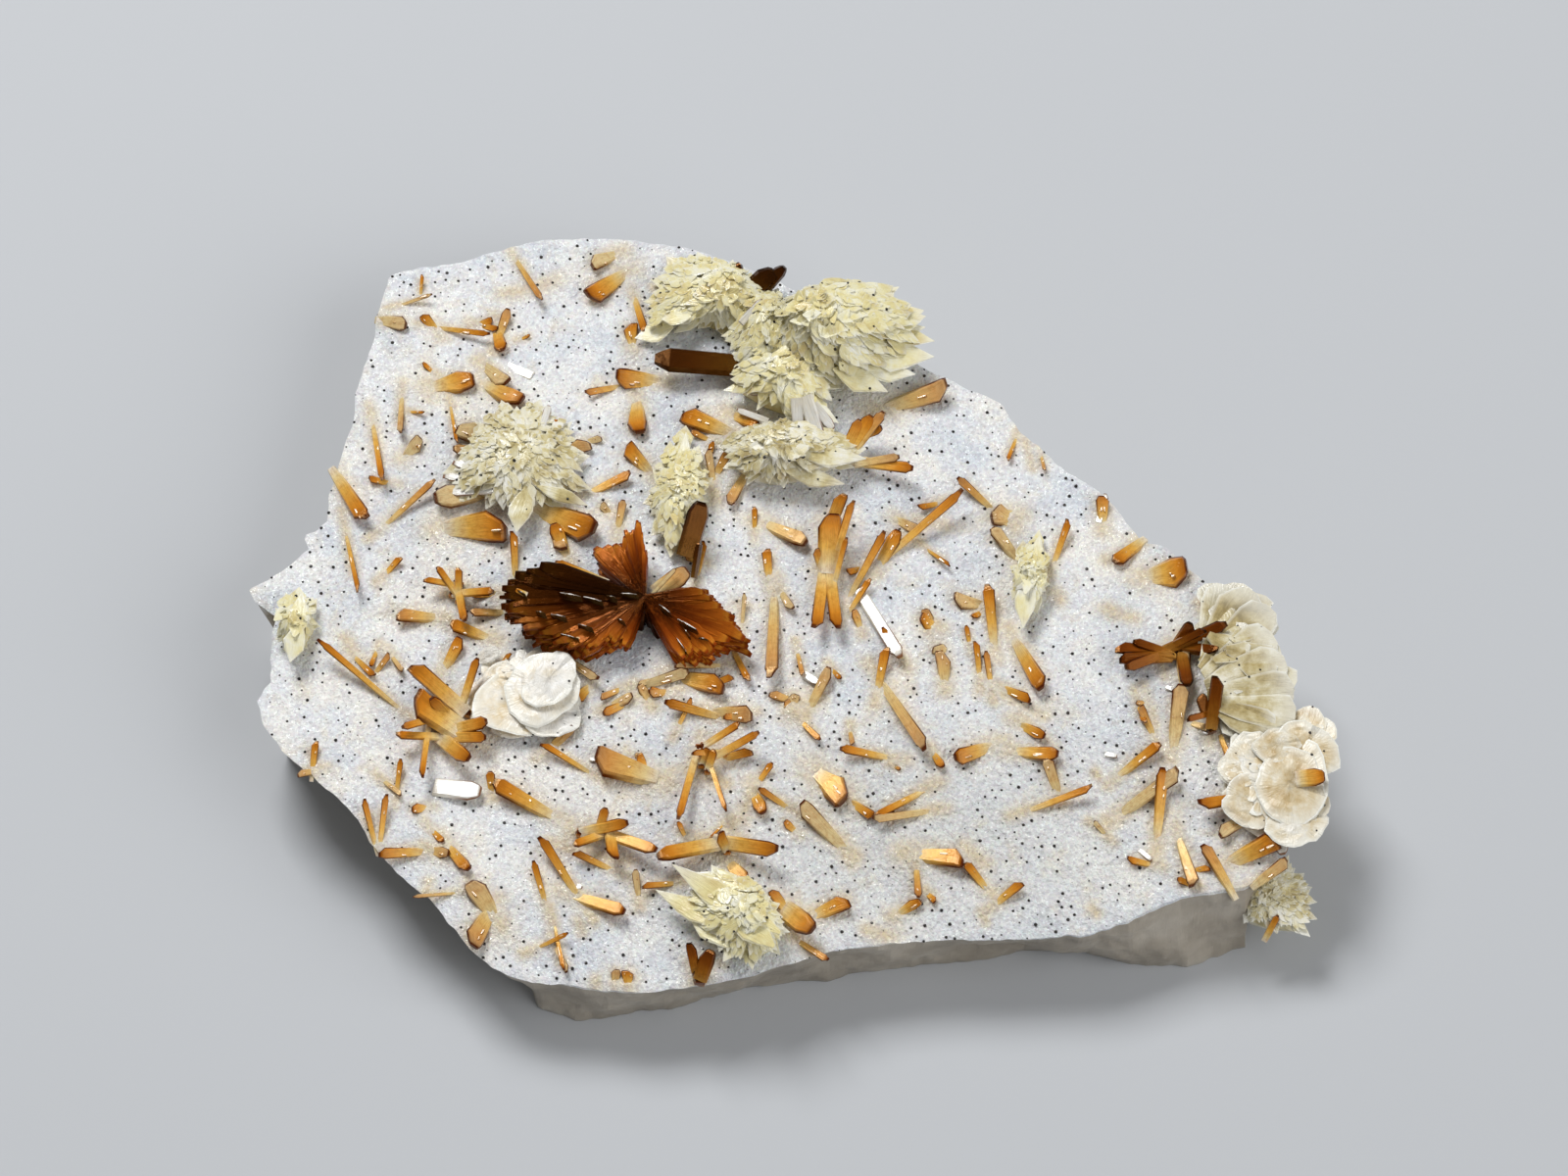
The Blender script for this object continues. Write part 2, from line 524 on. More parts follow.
UPPER_MIDDLE_CRYSTALS = (
    ((570, 462), (602, 451), 0.42), ((598, 450), (614, 447), 0.22), ((662, 480), (638, 455), 0.48),
    ((600, 503), (644, 483), 0.32), ((623, 525), (613, 514), 0.25), ((630, 540), (636, 510), 0.25),
    ((650, 412), (650, 442), 0.58), ((634, 393), (597, 401), 0.22), ((668, 388), (628, 386), 0.62),
    ((647, 302), (658, 338), 0.25), ((645, 352), (643, 330), 0.42), ((911, 413), (968, 396), 0.62),
    ((715, 573), (697, 562), 0.36), ((710, 592), (719, 552), 0.20), ((782, 535), (824, 553), 0.50),
    ((785, 592), (782, 560), 0.30), ((552, 520), (606, 543), 0.86), ((566, 540), (573, 561), 0.40), ((578, 566), (565, 534), 0.45),
    ((742, 440), (696, 422), 0.62), ((748, 424), (775, 432), 0.48), ((729, 500), (722, 458), 0.26),
    ((728, 488), (745, 458), 0.28), ((760, 484), (743, 514), 0.36),
)
UPPER_RIGHT_CRYSTALS = (
    ((1074, 578), (1091, 530), 0.22), ((1015, 521), (977, 487), 0.25), ((1034, 526), (1011, 528), 0.60),
    ((1038, 570), (1013, 538), 0.40), ((899, 572), (983, 500), 0.28), ((867, 608), (903, 542), 0.25),
    ((896, 578), (917, 541), 0.45), ((962, 512), (937, 518), 0.20), ((881, 579), (864, 584), 0.22),
    ((1165, 552), (1137, 574), 0.45), ((1176, 588), (1212, 582), 0.92), ((1125, 533), (1125, 506), 0.40),
    ((790, 612), (787, 691), 0.40), ((795, 600), (808, 622), 0.25), ((826, 722), (847, 681), 0.36),
    ((1002, 617), (973, 612), 0.48), ((1014, 656), (1008, 596), 0.36), ((948, 640), (945, 621), 0.36),
    ((964, 695), (962, 664), 0.42), ((895, 707), (904, 660), 0.30),
    ((900, 697), (945, 764), 0.38), ((1038, 657), (1064, 702), 0.50), ((909, 773), (857, 763), 0.28),
    ((1038, 766), (1080, 770), 0.45), ((1080, 809), (1068, 774), 0.36), ((1008, 762), (974, 774), 0.50),
    ((812, 716), (785, 707), 0.28), ((806, 722), (812, 708), 0.36), ((808, 726), (800, 716), 0.30),
    ((951, 766), (962, 783), 0.26), ((910, 781), (919, 785), 0.12), ((1020, 700), (1052, 714), 0.30),
    ((1040, 738), (1066, 752), 0.34), ((1012, 704), (1006, 664), 0.20), ((1000, 692), (996, 654), 0.20),
    ((990, 660), (986, 638), 0.16), ((1006, 622), (992, 630), 0.20), ((960, 668), (957, 658), 0.50),
    ((955, 640), (938, 632), 0.44), ((1030, 534), (1014, 520), 0.62), ((916, 530), (936, 541), 0.34),
    ((922, 674), (900, 640), 0.18), ((878, 640), (871, 622), 0.26), ((865, 626), (888, 590), 0.20),
)
LEFT_CRYSTALS = (
    ((407, 722), (324, 652), 0.22), ((444, 630), (404, 627), 0.45), ((497, 650), (459, 636), 0.42),
    ((454, 681), (471, 651), 0.40), ((563, 832), (503, 798), 0.52),
    ((384, 866), (371, 815), 0.20), ((387, 866), (394, 810), 0.20), ((436, 868), (386, 871), 0.32),
    ((437, 866), (458, 872), 0.34), ((556, 766), (584, 740), 0.20), ((663, 792), (606, 774), 0.90), ((661, 790), (651, 769), 0.26), ((604, 789), (552, 758), 0.20),
    ((562, 764), (585, 742), 0.26), ((436, 824), (420, 825), 0.30), ((454, 860), (478, 888), 0.36),
    ((502, 810), (500, 787), 0.28), ((469, 910), (421, 915), 0.12),
    ((601, 700), (586, 716), 0.36), ((643, 715), (615, 728), 0.28), ((504, 934), (480, 899), 0.62), ((500, 930), (480, 964), 0.60),
    ((566, 962), (579, 992), 0.20),
)
LOWER_CRYSTALS = (
    ((593, 919), (551, 853), 0.28), ((558, 926), (544, 878), 0.20), ((586, 914), (638, 930), 0.45), ((652, 918), (648, 887), 0.22), ((745, 880), (761, 902), 0.50),
    ((741, 838), (725, 854), 0.08), ((690, 690), (740, 700), 0.60), ((652, 700), (703, 685), 0.36),
    ((663, 716), (653, 698), 0.30), ((687, 705), (662, 708), 0.26), ((813, 662), (819, 689), 0.16),
    ((730, 727), (768, 729), 0.52), ((735, 774), (768, 766), 0.28), ((620, 722), (646, 710), 0.34),
    ((812, 848), (800, 838), 0.24), ((830, 934), (866, 918), 0.50),
    ((627, 888), (585, 869), 0.22), ((695, 900), (655, 904), 0.20), ((768, 806), (779, 830), 0.40),
    ((808, 826), (774, 804), 0.20), ((770, 803), (788, 778), 0.20), ((858, 862), (816, 820), 0.48),
    ((838, 792), (865, 814), 0.80), ((866, 816), (892, 834), 0.30), ((811, 957), (845, 980), 0.22), ((641, 1006), (640, 990), 0.34),
    ((627, 1004), (629, 989), 0.28), ((948, 827), (890, 836), 0.26), ((943, 806), (893, 833), 0.26),
    ((936, 872), (984, 876), 0.60), ((1008, 908), (985, 880), 0.28), ((935, 880), (937, 916), 0.22),
    ((918, 931), (939, 918), 0.32), ((1014, 923), (1043, 900), 0.28),
)
RIGHT_CRYSTALS = (
    ((1050, 826), (1115, 803), 0.24), ((1178, 752), (1163, 720), 0.25), ((1143, 790), (1184, 758), 0.34),
    ((1302, 808), (1223, 821), 0.38), ((1276, 832), (1243, 851), 0.40), ((1258, 878), (1303, 856), 0.62),
    ((1281, 902), (1314, 878), 0.36), ((1204, 858), (1219, 904), 0.36), ((1258, 911), (1228, 861), 0.36),
    ((1178, 882), (1150, 877), 0.24), ((1198, 756), (1206, 698), 0.50), ((1208, 700), (1207, 662), 0.44), ((1212, 736), (1236, 744), 0.24),
    ((1134, 570), (1152, 566), 0.30), ((1160, 712), (1168, 738), 0.18), ((1229, 619), (1239, 600), 0.20),
    ((1229, 619), (1250, 636), 0.20), ((1243, 744), (1257, 780), 0.20),
    ((1146, 828), (1204, 787), 0.46), ((1181, 852), (1187, 783), 0.38),
)
THIN_CRYSTALS = (
    ((429, 302), (431, 280), 0.12), ((404, 312), (441, 300), 0.12), ((415, 419), (433, 421), 0.10), ((410, 403), (408, 442), 0.20),
    ((459, 410), (466, 452), 0.12), ((670, 292), (680, 285), 0.16), ((622, 265), (603, 265), 0.20),
    ((727, 450), (705, 440), 0.20), ((722, 475), (727, 450), 0.18), ((770, 545), (770, 517), 0.18),
    ((942, 557), (970, 577), 0.12), ((847, 680), (858, 693), 0.16), ((867, 743), (870, 760), 0.16),
    ((813, 731), (837, 755), 0.20), ((360, 668), (382, 690), 0.20), ((385, 662), (378, 680), 0.16),
    ((380, 690), (398, 667), 0.18), ((398, 667), (411, 685), 0.18), ((326, 785), (303, 790), 0.22),
    ((318, 792), (322, 756), 0.22), ((390, 795), (410, 811), 0.18), ((404, 812), (409, 774), 0.18),
    ((437, 843), (452, 859), 0.22), ((655, 780), (650, 768), 0.20), ((512, 745), (521, 732), 0.14),
    ((507, 682), (521, 666), 0.14), ((700, 855), (692, 838), 0.16), ((945, 910), (955, 920), 0.20),
    ((1172, 722), (1160, 715), 0.20), ((1215, 888), (1235, 885), 0.20), ((1220, 903), (1201, 897), 0.22),
    ((1132, 855), (1116, 838), 0.16), ((746, 658), (764, 695), 0.22), ((566, 663), (610, 694), 0.26),
    ((515, 624), (480, 625), 0.28), ((508, 605), (480, 605), 0.30), ((757, 640), (760, 605), 0.14),
    ((352, 540), (366, 604), 0.16), ((380, 430), (390, 490), 0.20),
    ((1038, 444), (1028, 470), 0.14), ((1062, 462), (1066, 480), 0.12), ((565, 940), (575, 990), 0.14),
    ((545, 968), (580, 952), 0.14), ((690, 745), (706, 712), 0.16), ((738, 732), (678, 716), 0.30),
    ((738, 678), (688, 679), 0.20), ((668, 692), (651, 699), 0.22), ((684, 710), (663, 704), 0.26),
    ((765, 728), (738, 732), 0.20), ((720, 700), (748, 690), 0.22), ((640, 700), (612, 712), 0.22),
)
BLADE_FLATNESS = 0.42
BLADE_RISE = 0.20
ROOT_DEPTH = 0.10 * MM
BURIED_SHARE = 0.12
SEEN_WIDTH = 1.3
SECTION = ((-1.0, 0.0), (-0.74, 1.0), (0.74, 1.0), (1.0, 0.0), (0.74, -1.0), (-0.74, -1.0))
crystal_rng = random.Random(7)


def new_store():
    """An empty collection of crystals that become one mesh."""
    return {"points": [], "faces": [], "along": [], "edge": [], "shade": [], "grain": []}


def add_rings(store, rings, shade=None):
    """Adds a closed tube of equal rings with flat ends. A ring lists point, along, edge, across, run."""
    start = len(store["points"])
    size = len(rings[0])
    shade = crystal_rng.random() if shade is None else shade
    offset = crystal_rng.uniform(0.0, 50.0)
    for ring in rings:
        for point, along, edge, across, run in ring:
            store["points"].append(point)
            store["along"].append(along)
            store["edge"].append(edge)
            store["shade"].append(shade)
            store["grain"].append((across / MM + offset, run / MM, offset))
    for level in range(len(rings) - 1):
        for index in range(size):
            low = start + level * size
            after = (index + 1) % size
            store["faces"].append((low + index, low + after, low + size + after, low + size + index))
    store["faces"].append(tuple(start + size - 1 - index for index in range(size)))
    top = start + (len(rings) - 1) * size
    store["faces"].append(tuple(top + index for index in range(size)))


def add_blade(store, root, tip, width, thickness, roll=0.0, wedge=0.55, slant=0.0, facing=None, shade=None, foot=0.9):
    """Adds a flat crystal with parallel sides, bevelled edges and a blunt wedge at its free end."""
    axis = (tip - root).normalized()
    facing = (facing or Vector((0.0, -0.35, 1.0))).normalized()
    across = axis.cross(facing).normalized()
    flat = across.cross(axis)
    across, flat = (across * math.cos(roll) + flat * math.sin(roll),
                    flat * math.cos(roll) - across * math.sin(roll))
    length = (tip - root).length
    shoulder = min(0.9, max(0.55, 1.0 - wedge * width / length))
    rings = []
    for place, wide, deep, edge in ((0.0, foot, 0.9, 0.0), (0.35, 0.5 + foot / 2, 1.0, 0.0), (shoulder, 1.0, 1.0, 0.0),
                                    (0.93, 0.70, 0.9, 0.0), (1.0, 0.42, 0.4, 1.0)):
        centre = root + axis * length * place
        centre += across * slant * width * 0.3 * max(0.0, (place - shoulder) / (1.0 - shoulder))
        ring = []
        for side, up in SECTION:
            point = centre + across * side * wide * width / 2 + flat * up * deep * thickness / 2
            outline = 1.0 if abs(side) == 1.0 else edge
            ring.append((point, place, outline, side * width / 2, place * length))
        rings.append(ring)
    add_rings(store, rings, shade)


def as_piece(store, name, material, slot, nodes=()):
    """The stored crystals as one piece that rides on the plate."""
    piece = new_piece(name, store["points"], store["faces"])
    for label in ("along", "edge", "shade", "grain"):
        add_values(piece, label, store[label])
    shape = bmesh.new()
    shape.from_mesh(piece.data)
    bmesh.ops.recalc_face_normals(shape, faces=shape.faces)
    shape.to_mesh(piece.data)
    shape.free()
    piece.data.materials.append(material)
    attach(piece, "root")
    if nodes:
        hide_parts(*nodes)
    return piece


def eosphorite(name, stops, outline, values, density, absorbed, dullest=0.72, brightest=1.12,
               relief=0.35, pale=None, inner="8A4512"):
    """Clear brown eosphorite with fine lines along it, from its root colour to its tip colour."""
    material = mineral(name, values)
    along = add(material, "ShaderNodeAttribute", {"attribute_name": "along"}, {}).outputs["Fac"]
    edge = add(material, "ShaderNodeAttribute", {"attribute_name": "edge"}, {}).outputs["Fac"]
    shade = add(material, "ShaderNodeAttribute", {"attribute_name": "shade"}, {}).outputs["Fac"]
    grain = add(material, "ShaderNodeAttribute", {"attribute_name": "grain"}, {}).outputs["Vector"]
    lines = add(material, "ShaderNodeMapping", {}, {"Vector": grain, "Scale": (26.0, 1.6, 1.0)})
    striae = add(material, "ShaderNodeTexNoise", {}, {"Vector": lines.outputs["Vector"], "Scale": 1.0, "Detail": 3.0})
    body = add(material, "ShaderNodeValToRGB", {"stops": stops}, {"Fac": along})
    paler = add(material, "ShaderNodeMapRange", {}, {"Value": shade, "To Min": dullest, "To Max": brightest})
    streak = add(material, "ShaderNodeMapRange", {}, {"Value": striae.outputs["Fac"], "From Min": 0.3,
                                                      "From Max": 0.7, "To Min": 0.82, "To Max": 1.1})
    both = add(material, "ShaderNodeMath", {"operation": "MULTIPLY"},
               {0: paler.outputs["Result"], 1: streak.outputs["Result"]})
    coloured = body.outputs["Color"]
    if pale:
        strength = add(material, "ShaderNodeMapRange", {}, {"Value": shade, "From Max": 0.45, "To Min": 0.15})
        coloured = add(material, "ShaderNodeMix", {"data_type": "RGBA"},
                       {"Factor": strength.outputs["Result"], "A": linear(pale), "B": coloured}).outputs["Result"]
    veil = add(material, "ShaderNodeTexNoise", {}, {"Vector": grain, "Scale": 5.0, "Detail": 4.0, "Roughness": 0.7})
    veiled = add(material, "ShaderNodeMapRange", {}, {"Value": veil.outputs["Fac"], "From Min": 0.46,
                                                      "From Max": 0.66, "To Max": 0.40})
    coloured = add(material, "ShaderNodeMix", {"data_type": "RGBA"},
                   {"Factor": veiled.outputs["Result"], "A": coloured, "B": linear(inner)}).outputs["Result"]
    free = add(material, "ShaderNodeMapRange", {"interpolation_type": "SMOOTHSTEP"},
               {"Value": along, "From Min": 0.25, "From Max": 0.8})
    thin = add(material, "ShaderNodeMapRange", {"interpolation_type": "SMOOTHSTEP"},
               {"Value": edge, "From Min": 0.22, "From Max": 0.72})
    rimmed = add(material, "ShaderNodeMath", {"operation": "MULTIPLY"},
                 {0: thin.outputs["Result"], 1: free.outputs["Result"]})
    final = add(material, "ShaderNodeMix", {"data_type": "RGBA"},
                {"Factor": rimmed.outputs["Value"], "A": coloured, "B": linear(outline)})
    toned = add(material, "ShaderNodeVectorMath", {"operation": "SCALE"},
                {"Vector": final.outputs["Result"], "Scale": both.outputs["Value"]})
    ridges = add(material, "ShaderNodeBump", {}, {"Strength": relief, "Distance": 0.00002,
                                                  "Height": striae.outputs["Fac"]})
    to_shader(material, Base_Color=toned.outputs["Vector"], Normal=ridges.outputs["Normal"])
    depth = add(material, "ShaderNodeVolumeAbsorption", {}, {"Color": linear(absorbed), "Density": density})
    material.node_tree.links.new(depth.outputs["Volume"],
                                 material.node_tree.nodes["Material Output"].inputs["Volume"])
    return material


amber = eosphorite("eosphorite, honey amber",
                   ((0.0, "F6EEDA"), (0.20, "F4DA9A"), (0.42, "F2BC58"), (0.78, "E0902A"), (1.0, "A0540C")),
                   "561C02", {"Roughness": 0.12, "IOR": 1.64, "Transmission Weight": 0.18,
                              "Specular Tint": linear("F8D49A")}, 600.0, "F0A848",
                   dullest=0.95, brightest=1.10, relief=0.6, pale="F8E4AE", inner="BC6E14")


def stand_in_druse(store, rows):
    """Adds crystals that stand in the druse, from rows of root, tip and width in millimetres."""
    stains = []
    for root_pixel, tip_pixel, width in rows:
        width *= SEEN_WIDTH * MM
        root = on_face(root_pixel)
        run = on_face(tip_pixel) - root
        tip = on_face(tip_pixel, 0.08 * MM + BLADE_RISE * run.length)
        thickness = max(BLADE_FLATNESS * width, 0.09 * MM)
        add_blade(store, root - run * BURIED_SHARE - UP * ROOT_DEPTH, tip, width, thickness,
                  roll=crystal_rng.uniform(-0.35, 0.35), wedge=crystal_rng.uniform(0.35, 0.8),
                  slant=crystal_rng.uniform(-1.0, 1.0), foot=0.55)
        stains.append((root, on_face(tip_pixel), width))
        for _ in range(2 if width > 0.4 * MM else 1):
            near = crystal_rng.uniform(0.35, 0.75)
            far = near + crystal_rng.uniform(0.08, 0.22)
            side = crystal_rng.uniform(-0.25, 0.25) * width / PIXEL
            way = (Vector(tip_pixel) - Vector(root_pixel))
            aside = Vector((-way.y, way.x)).normalized() * side
            rise = near * (0.08 * MM + BLADE_RISE * run.length) + 0.5 * thickness
            steps.append((Vector(root_pixel) + way * near + aside, Vector(root_pixel) + way * far + aside,
                          crystal_rng.uniform(0.03, 0.09) * MM, rise))
    return stains


small = new_store()
steps = []
stains = []
for rows in (UPPER_LEFT_CRYSTALS, UPPER_MIDDLE_CRYSTALS, UPPER_RIGHT_CRYSTALS, LEFT_CRYSTALS,
             LOWER_CRYSTALS, RIGHT_CRYSTALS, THIN_CRYSTALS):
    stains += stand_in_druse(small, rows)
as_piece(small, "small_eosphorites", amber, "eosphorite_amber")


def stain_druse(stains, reach, heap, behind, ahead):
    """Stains the druse tan where a crystal's root shows through it, and heaps it against the root."""
    size = len(plate.data.vertices)
    flat = np.zeros(size * 3, dtype=np.float32)
    plate.data.vertices.foreach_get("co", flat)
    flat = flat.reshape(-1, 3)
    top = flat[:len(druse_points)]
    tan = np.zeros(size)
    if "stain" in plate.data.attributes:
        plate.data.attributes["stain"].data.foreach_get("value", tan)
    for root, tip, width in stains:
        run = np.array([tip.x - root.x, tip.y - root.y])
        off = top[:, :2] - np.array([root.x, root.y])
        share = np.clip(off @ run / max(run @ run, 1e-12), behind, ahead)
        gap = np.linalg.norm(off - share[:, None] * run, axis=1)
        near = np.exp(-(gap / (reach + 0.5 * width)) ** 2)
        tan[:len(top)] = np.maximum(tan[:len(top)], near)
        top[:, 2] += heap * np.exp(-(gap / (0.6 * width + 0.1 * MM)) ** 2) * (1.0 - np.clip(share / 0.7, 0.0, 1.0))
    plate.data.vertices.foreach_set("co", flat.ravel())
    if "stain" not in plate.data.attributes:
        add_values(plate, "stain", tan)
    else:
        plate.data.attributes["stain"].data.foreach_set("value", tan)



# Crystals that the druse has grown over: only their tan glow is seen through it.
BURIED = (
    ((1022, 708), (1066, 730), 0.50), ((1040, 730), (1072, 762), 0.50), ((1076, 604), (1082, 612), 0.40),
    ((1130, 622), (1158, 632), 0.60), ((934, 530), (966, 536), 0.50), ((1046, 450), (1054, 478), 0.30),
    ((478, 900), (500, 930), 0.50), ((498, 935), (480, 962), 0.40), ((560, 760), (584, 742), 0.36),
    ((1110, 838), (1130, 850), 0.24), ((1114, 928), (1120, 932), 0.30), ((885, 950), (905, 955), 0.50),
    ((1000, 930), (1006, 940), 0.26), ((424, 913), (468, 910), 0.24), ((608, 1000), (610, 1012), 0.36),
    ((590, 940), (594, 952), 0.34), ((1118, 788), (1122, 794), 0.26), ((1176, 665), (1190, 690), 0.40),
    ((512, 300), (566, 286), 0.60), ((984, 862), (1004, 880), 0.50), ((828, 932), (862, 918), 0.60),
    ((774, 812), (742, 846), 0.70), ((437, 900), (434, 930), 0.40), ((690, 694), (730, 700), 0.60),
    ((746, 876), (760, 900), 0.50), ((1136, 626), (1158, 630), 0.50), ((1166, 700), (1178, 740), 0.40),
    ((610, 268), (628, 274), 0.30), ((1210, 690), (1204, 740), 0.50), ((640, 765), (660, 790), 0.40),
    ((700, 790), (740, 800), 0.60), ((560, 860), (640, 880), 0.60), ((350, 650), (372, 672), 0.40),
)
stain_druse(stains, 0.15 * MM, 0.07 * MM, -0.3, 0.7)
stain_druse([(on_face(root_pixel), on_face(tip_pixel), width * MM) for root_pixel, tip_pixel, width in BURIED],
            0.10 * MM, 0.06 * MM, 0.0, 1.0)

# Raised eosphorite groups: larger blades that grew together at a root and stand clear of the druse,
# honey amber on the left and in the middle, dark red-brown at the right rim.
RAISED_GROUPS = {
    "eosphorite_twin": ("amber", (
        ((846, 586), (848, 524), 0.95, 1.1), ((848, 584), (870, 510), 0.30, 1.5), ((842, 576), (833, 641), 0.48, 0.8),
        ((846, 576), (854, 641), 0.48, 0.8), ((846, 540), (860, 503), 0.50, 1.2), ((838, 580), (832, 560), 0.30, 0.9),
        ((850, 600), (864, 548), 0.22, 1.3))),
    "eosphorite_left_spray": ("amber", (
        ((470, 612), (446, 578), 0.28, 0.9), ((468, 612), (468, 579), 0.30, 0.9), ((470, 598), (432, 591), 0.26, 0.8),
        ((462, 606), (504, 603), 0.36, 0.9), ((466, 594), (474, 634), 0.34, 0.8))),
    "eosphorite_left_cluster": ("amber", (
        ((476, 728), (420, 678), 0.62, 0.9), ((470, 746), (421, 714), 1.10, 1.1), ((458, 746), (497, 736), 0.50, 1.1),
        ((470, 724), (487, 671), 0.34, 1.3), ((454, 752), (404, 750), 0.34, 0.8), ((438, 736), (430, 793), 0.25, 0.9),
        ((448, 752), (478, 776), 0.60, 0.8), ((452, 752), (496, 752), 0.44, 0.8), ((462, 736), (440, 712), 0.44, 1.4),
        ((452, 730), (410, 742), 0.30, 1.2))),
    "eosphorite_right_bundle": ("brown", (
        ((1200, 668), (1138, 660), 0.50, 0.8), ((1184, 666), (1252, 636), 0.46, 1.2),
        ((1200, 658), (1242, 664), 0.42, 1.1), ((1202, 656), (1216, 636), 0.46, 1.3),
        ((1196, 664), (1148, 682), 0.42, 0.8), ((1190, 662), (1230, 642), 0.30, 1.4),
        ((1196, 670), (1142, 672), 0.50, 0.7), ((1198, 668), (1156, 654), 0.36, 0.9),
        ((1208, 662), (1250, 668), 0.36, 0.8), ((1206, 666), (1212, 700), 0.50, 0.6))),
    "eosphorite_right_prism": ("brown", (
        ((1236, 744), (1243, 690), 0.50, 1.5), ((1240, 730), (1222, 712), 0.60, 0.8),
        ((1242, 726), (1211, 734), 0.26, 0.8))),
    "eosphorite_trio": ("amber", (
        ((717, 762), (755, 738), 0.30, 0.9), ((722, 776), (775, 747), 0.30, 0.9), ((740, 768), (706, 768), 0.24, 0.9),
        ((722, 786), (729, 765), 0.32, 0.9), ((712, 764), (692, 836), 0.30, 0.8), ((722, 772), (741, 828), 0.20, 0.8),
        ((716, 780), (724, 764), 0.40, 0.8))),
    "eosphorite_lower_star": ("amber", (
        ((592, 850), (641, 839), 0.44, 1.0), ((610, 852), (618, 824), 0.36, 1.0), ((612, 848), (670, 868), 0.50, 0.8),
        ((622, 844), (626, 876), 0.46, 0.9), ((620, 850), (585, 862), 0.36, 0.8))),
    "eosphorite_lower_pair": ("amber", (
        ((738, 860), (670, 873), 0.66, 0.8), ((728, 858), (794, 868), 0.58, 1.0), ((742, 868), (733, 850), 0.40, 1.0))),
    "eosphorite_foot_prisms": ("brown", (
        ((714, 1000), (725, 969), 0.62, 1.0), ((710, 992), (704, 962), 0.40, 1.0))),
    "eosphorite_lower_tablet": ("amber", (
        ((798, 926), (829, 950), 0.84, 0.9), ((804, 932), (787, 908), 0.40, 0.8))),
}
brown = eosphorite("eosphorite, dark brown",
                   ((0.0, "DDA24C"), (0.25, "BE7A26"), (0.6, "985012"), (1.0, "6C2E08")),
                   "2A0D03", {"Roughness": 0.10, "IOR": 1.64, "Transmission Weight": 0.4,
                              "Specular Tint": linear("F2A860")}, 900.0, "C87A2A",
                   dullest=0.15, brightest=1.15)
finishes = {"amber": amber, "brown": brown}
raised_stains = []
for group, (tone, rows) in RAISED_GROUPS.items():
    store = new_store()
    for root_pixel, tip_pixel, width, rise in rows:
        root, tip = on_face(root_pixel, 0.35 * MM), on_face(tip_pixel, rise * MM)
        add_blade(store, root, tip, width * MM, max(0.18 * MM, 0.42 * width * MM),
                  roll=crystal_rng.uniform(-0.4, 0.4), wedge=crystal_rng.uniform(0.4, 0.8),
                  slant=crystal_rng.uniform(-1.0, 1.0), shade=crystal_rng.uniform(0.5, 1.0))
        foot = on_face(root_pixel)
        add_blade(store, foot - UP * 0.26 * MM, root + UP * 0.1 * MM, width * MM * 0.8, 0.3 * MM)
        raised_stains.append((foot, on_face(tip_pixel), width * MM))
    as_piece(store, group + "_blades", finishes[tone], "eosphorite_" + tone, (group,))
stain_druse(raised_stains, 0.20 * MM, 0.05 * MM, -0.2, 0.4)

# The bow-tie: a dark brown eosphorite crystal that split as it grew, so hundreds of thin blades fan
# out both ways from one hub, with a smaller fan behind. They are nearly black where they are dense
# and glow orange at their free tips.
KEY_FROM = Vector((-0.35, 0.55, 0.95)).normalized()
BOW_TIE_HUB = (657, 612)
HUB_HEIGHT = 1.25
FANS = (
    (46, 5, -0.15, 0.75, (((554, 579), 2.1), ((532, 588), 2.0), ((511, 606), 1.8), ((515, 628), 1.5), ((533, 643), 1.2),
             ((553, 658), 1.0), ((576, 664), 0.9), ((596, 668), 0.8), ((614, 658), 0.8), ((638, 665), 0.7))),
    (38, 5, 0.35, 1.00, (((722, 606), 1.6), ((736, 622), 1.4), ((753, 639), 1.2), ((766, 657), 1.0), ((744, 658), 0.9),
             ((729, 668), 0.8), ((711, 672), 0.8), ((696, 675), 0.7))),
    (20, 3, 0.50, 0.72, (((606, 564), 1.0), ((622, 562), 1.1), ((634, 552), 1.3), ((650, 536), 1.6), ((658, 562), 1.4))),
)
burnt = eosphorite("eosphorite, bow-tie",
                   ((0.0, "180602"), (0.35, "3C1404"), (0.65, "7A340A"), (0.88, "B8621A"), (1.0, "D8902E")),
                   "8A3A0C", {"Roughness": 0.08, "IOR": 1.64, "Transmission Weight": 0.25,
                              "Specular Tint": linear("EE9048")}, 4000.0, "C8641E",
                   dullest=0.06, brightest=1.7, relief=0.6)


def between(ends, place):
    """The point a share of the way along a row of points."""
    step = place * (len(ends) - 1)
    index = min(int(step), len(ends) - 2)
    return ends[index].lerp(ends[index + 1], step - index)


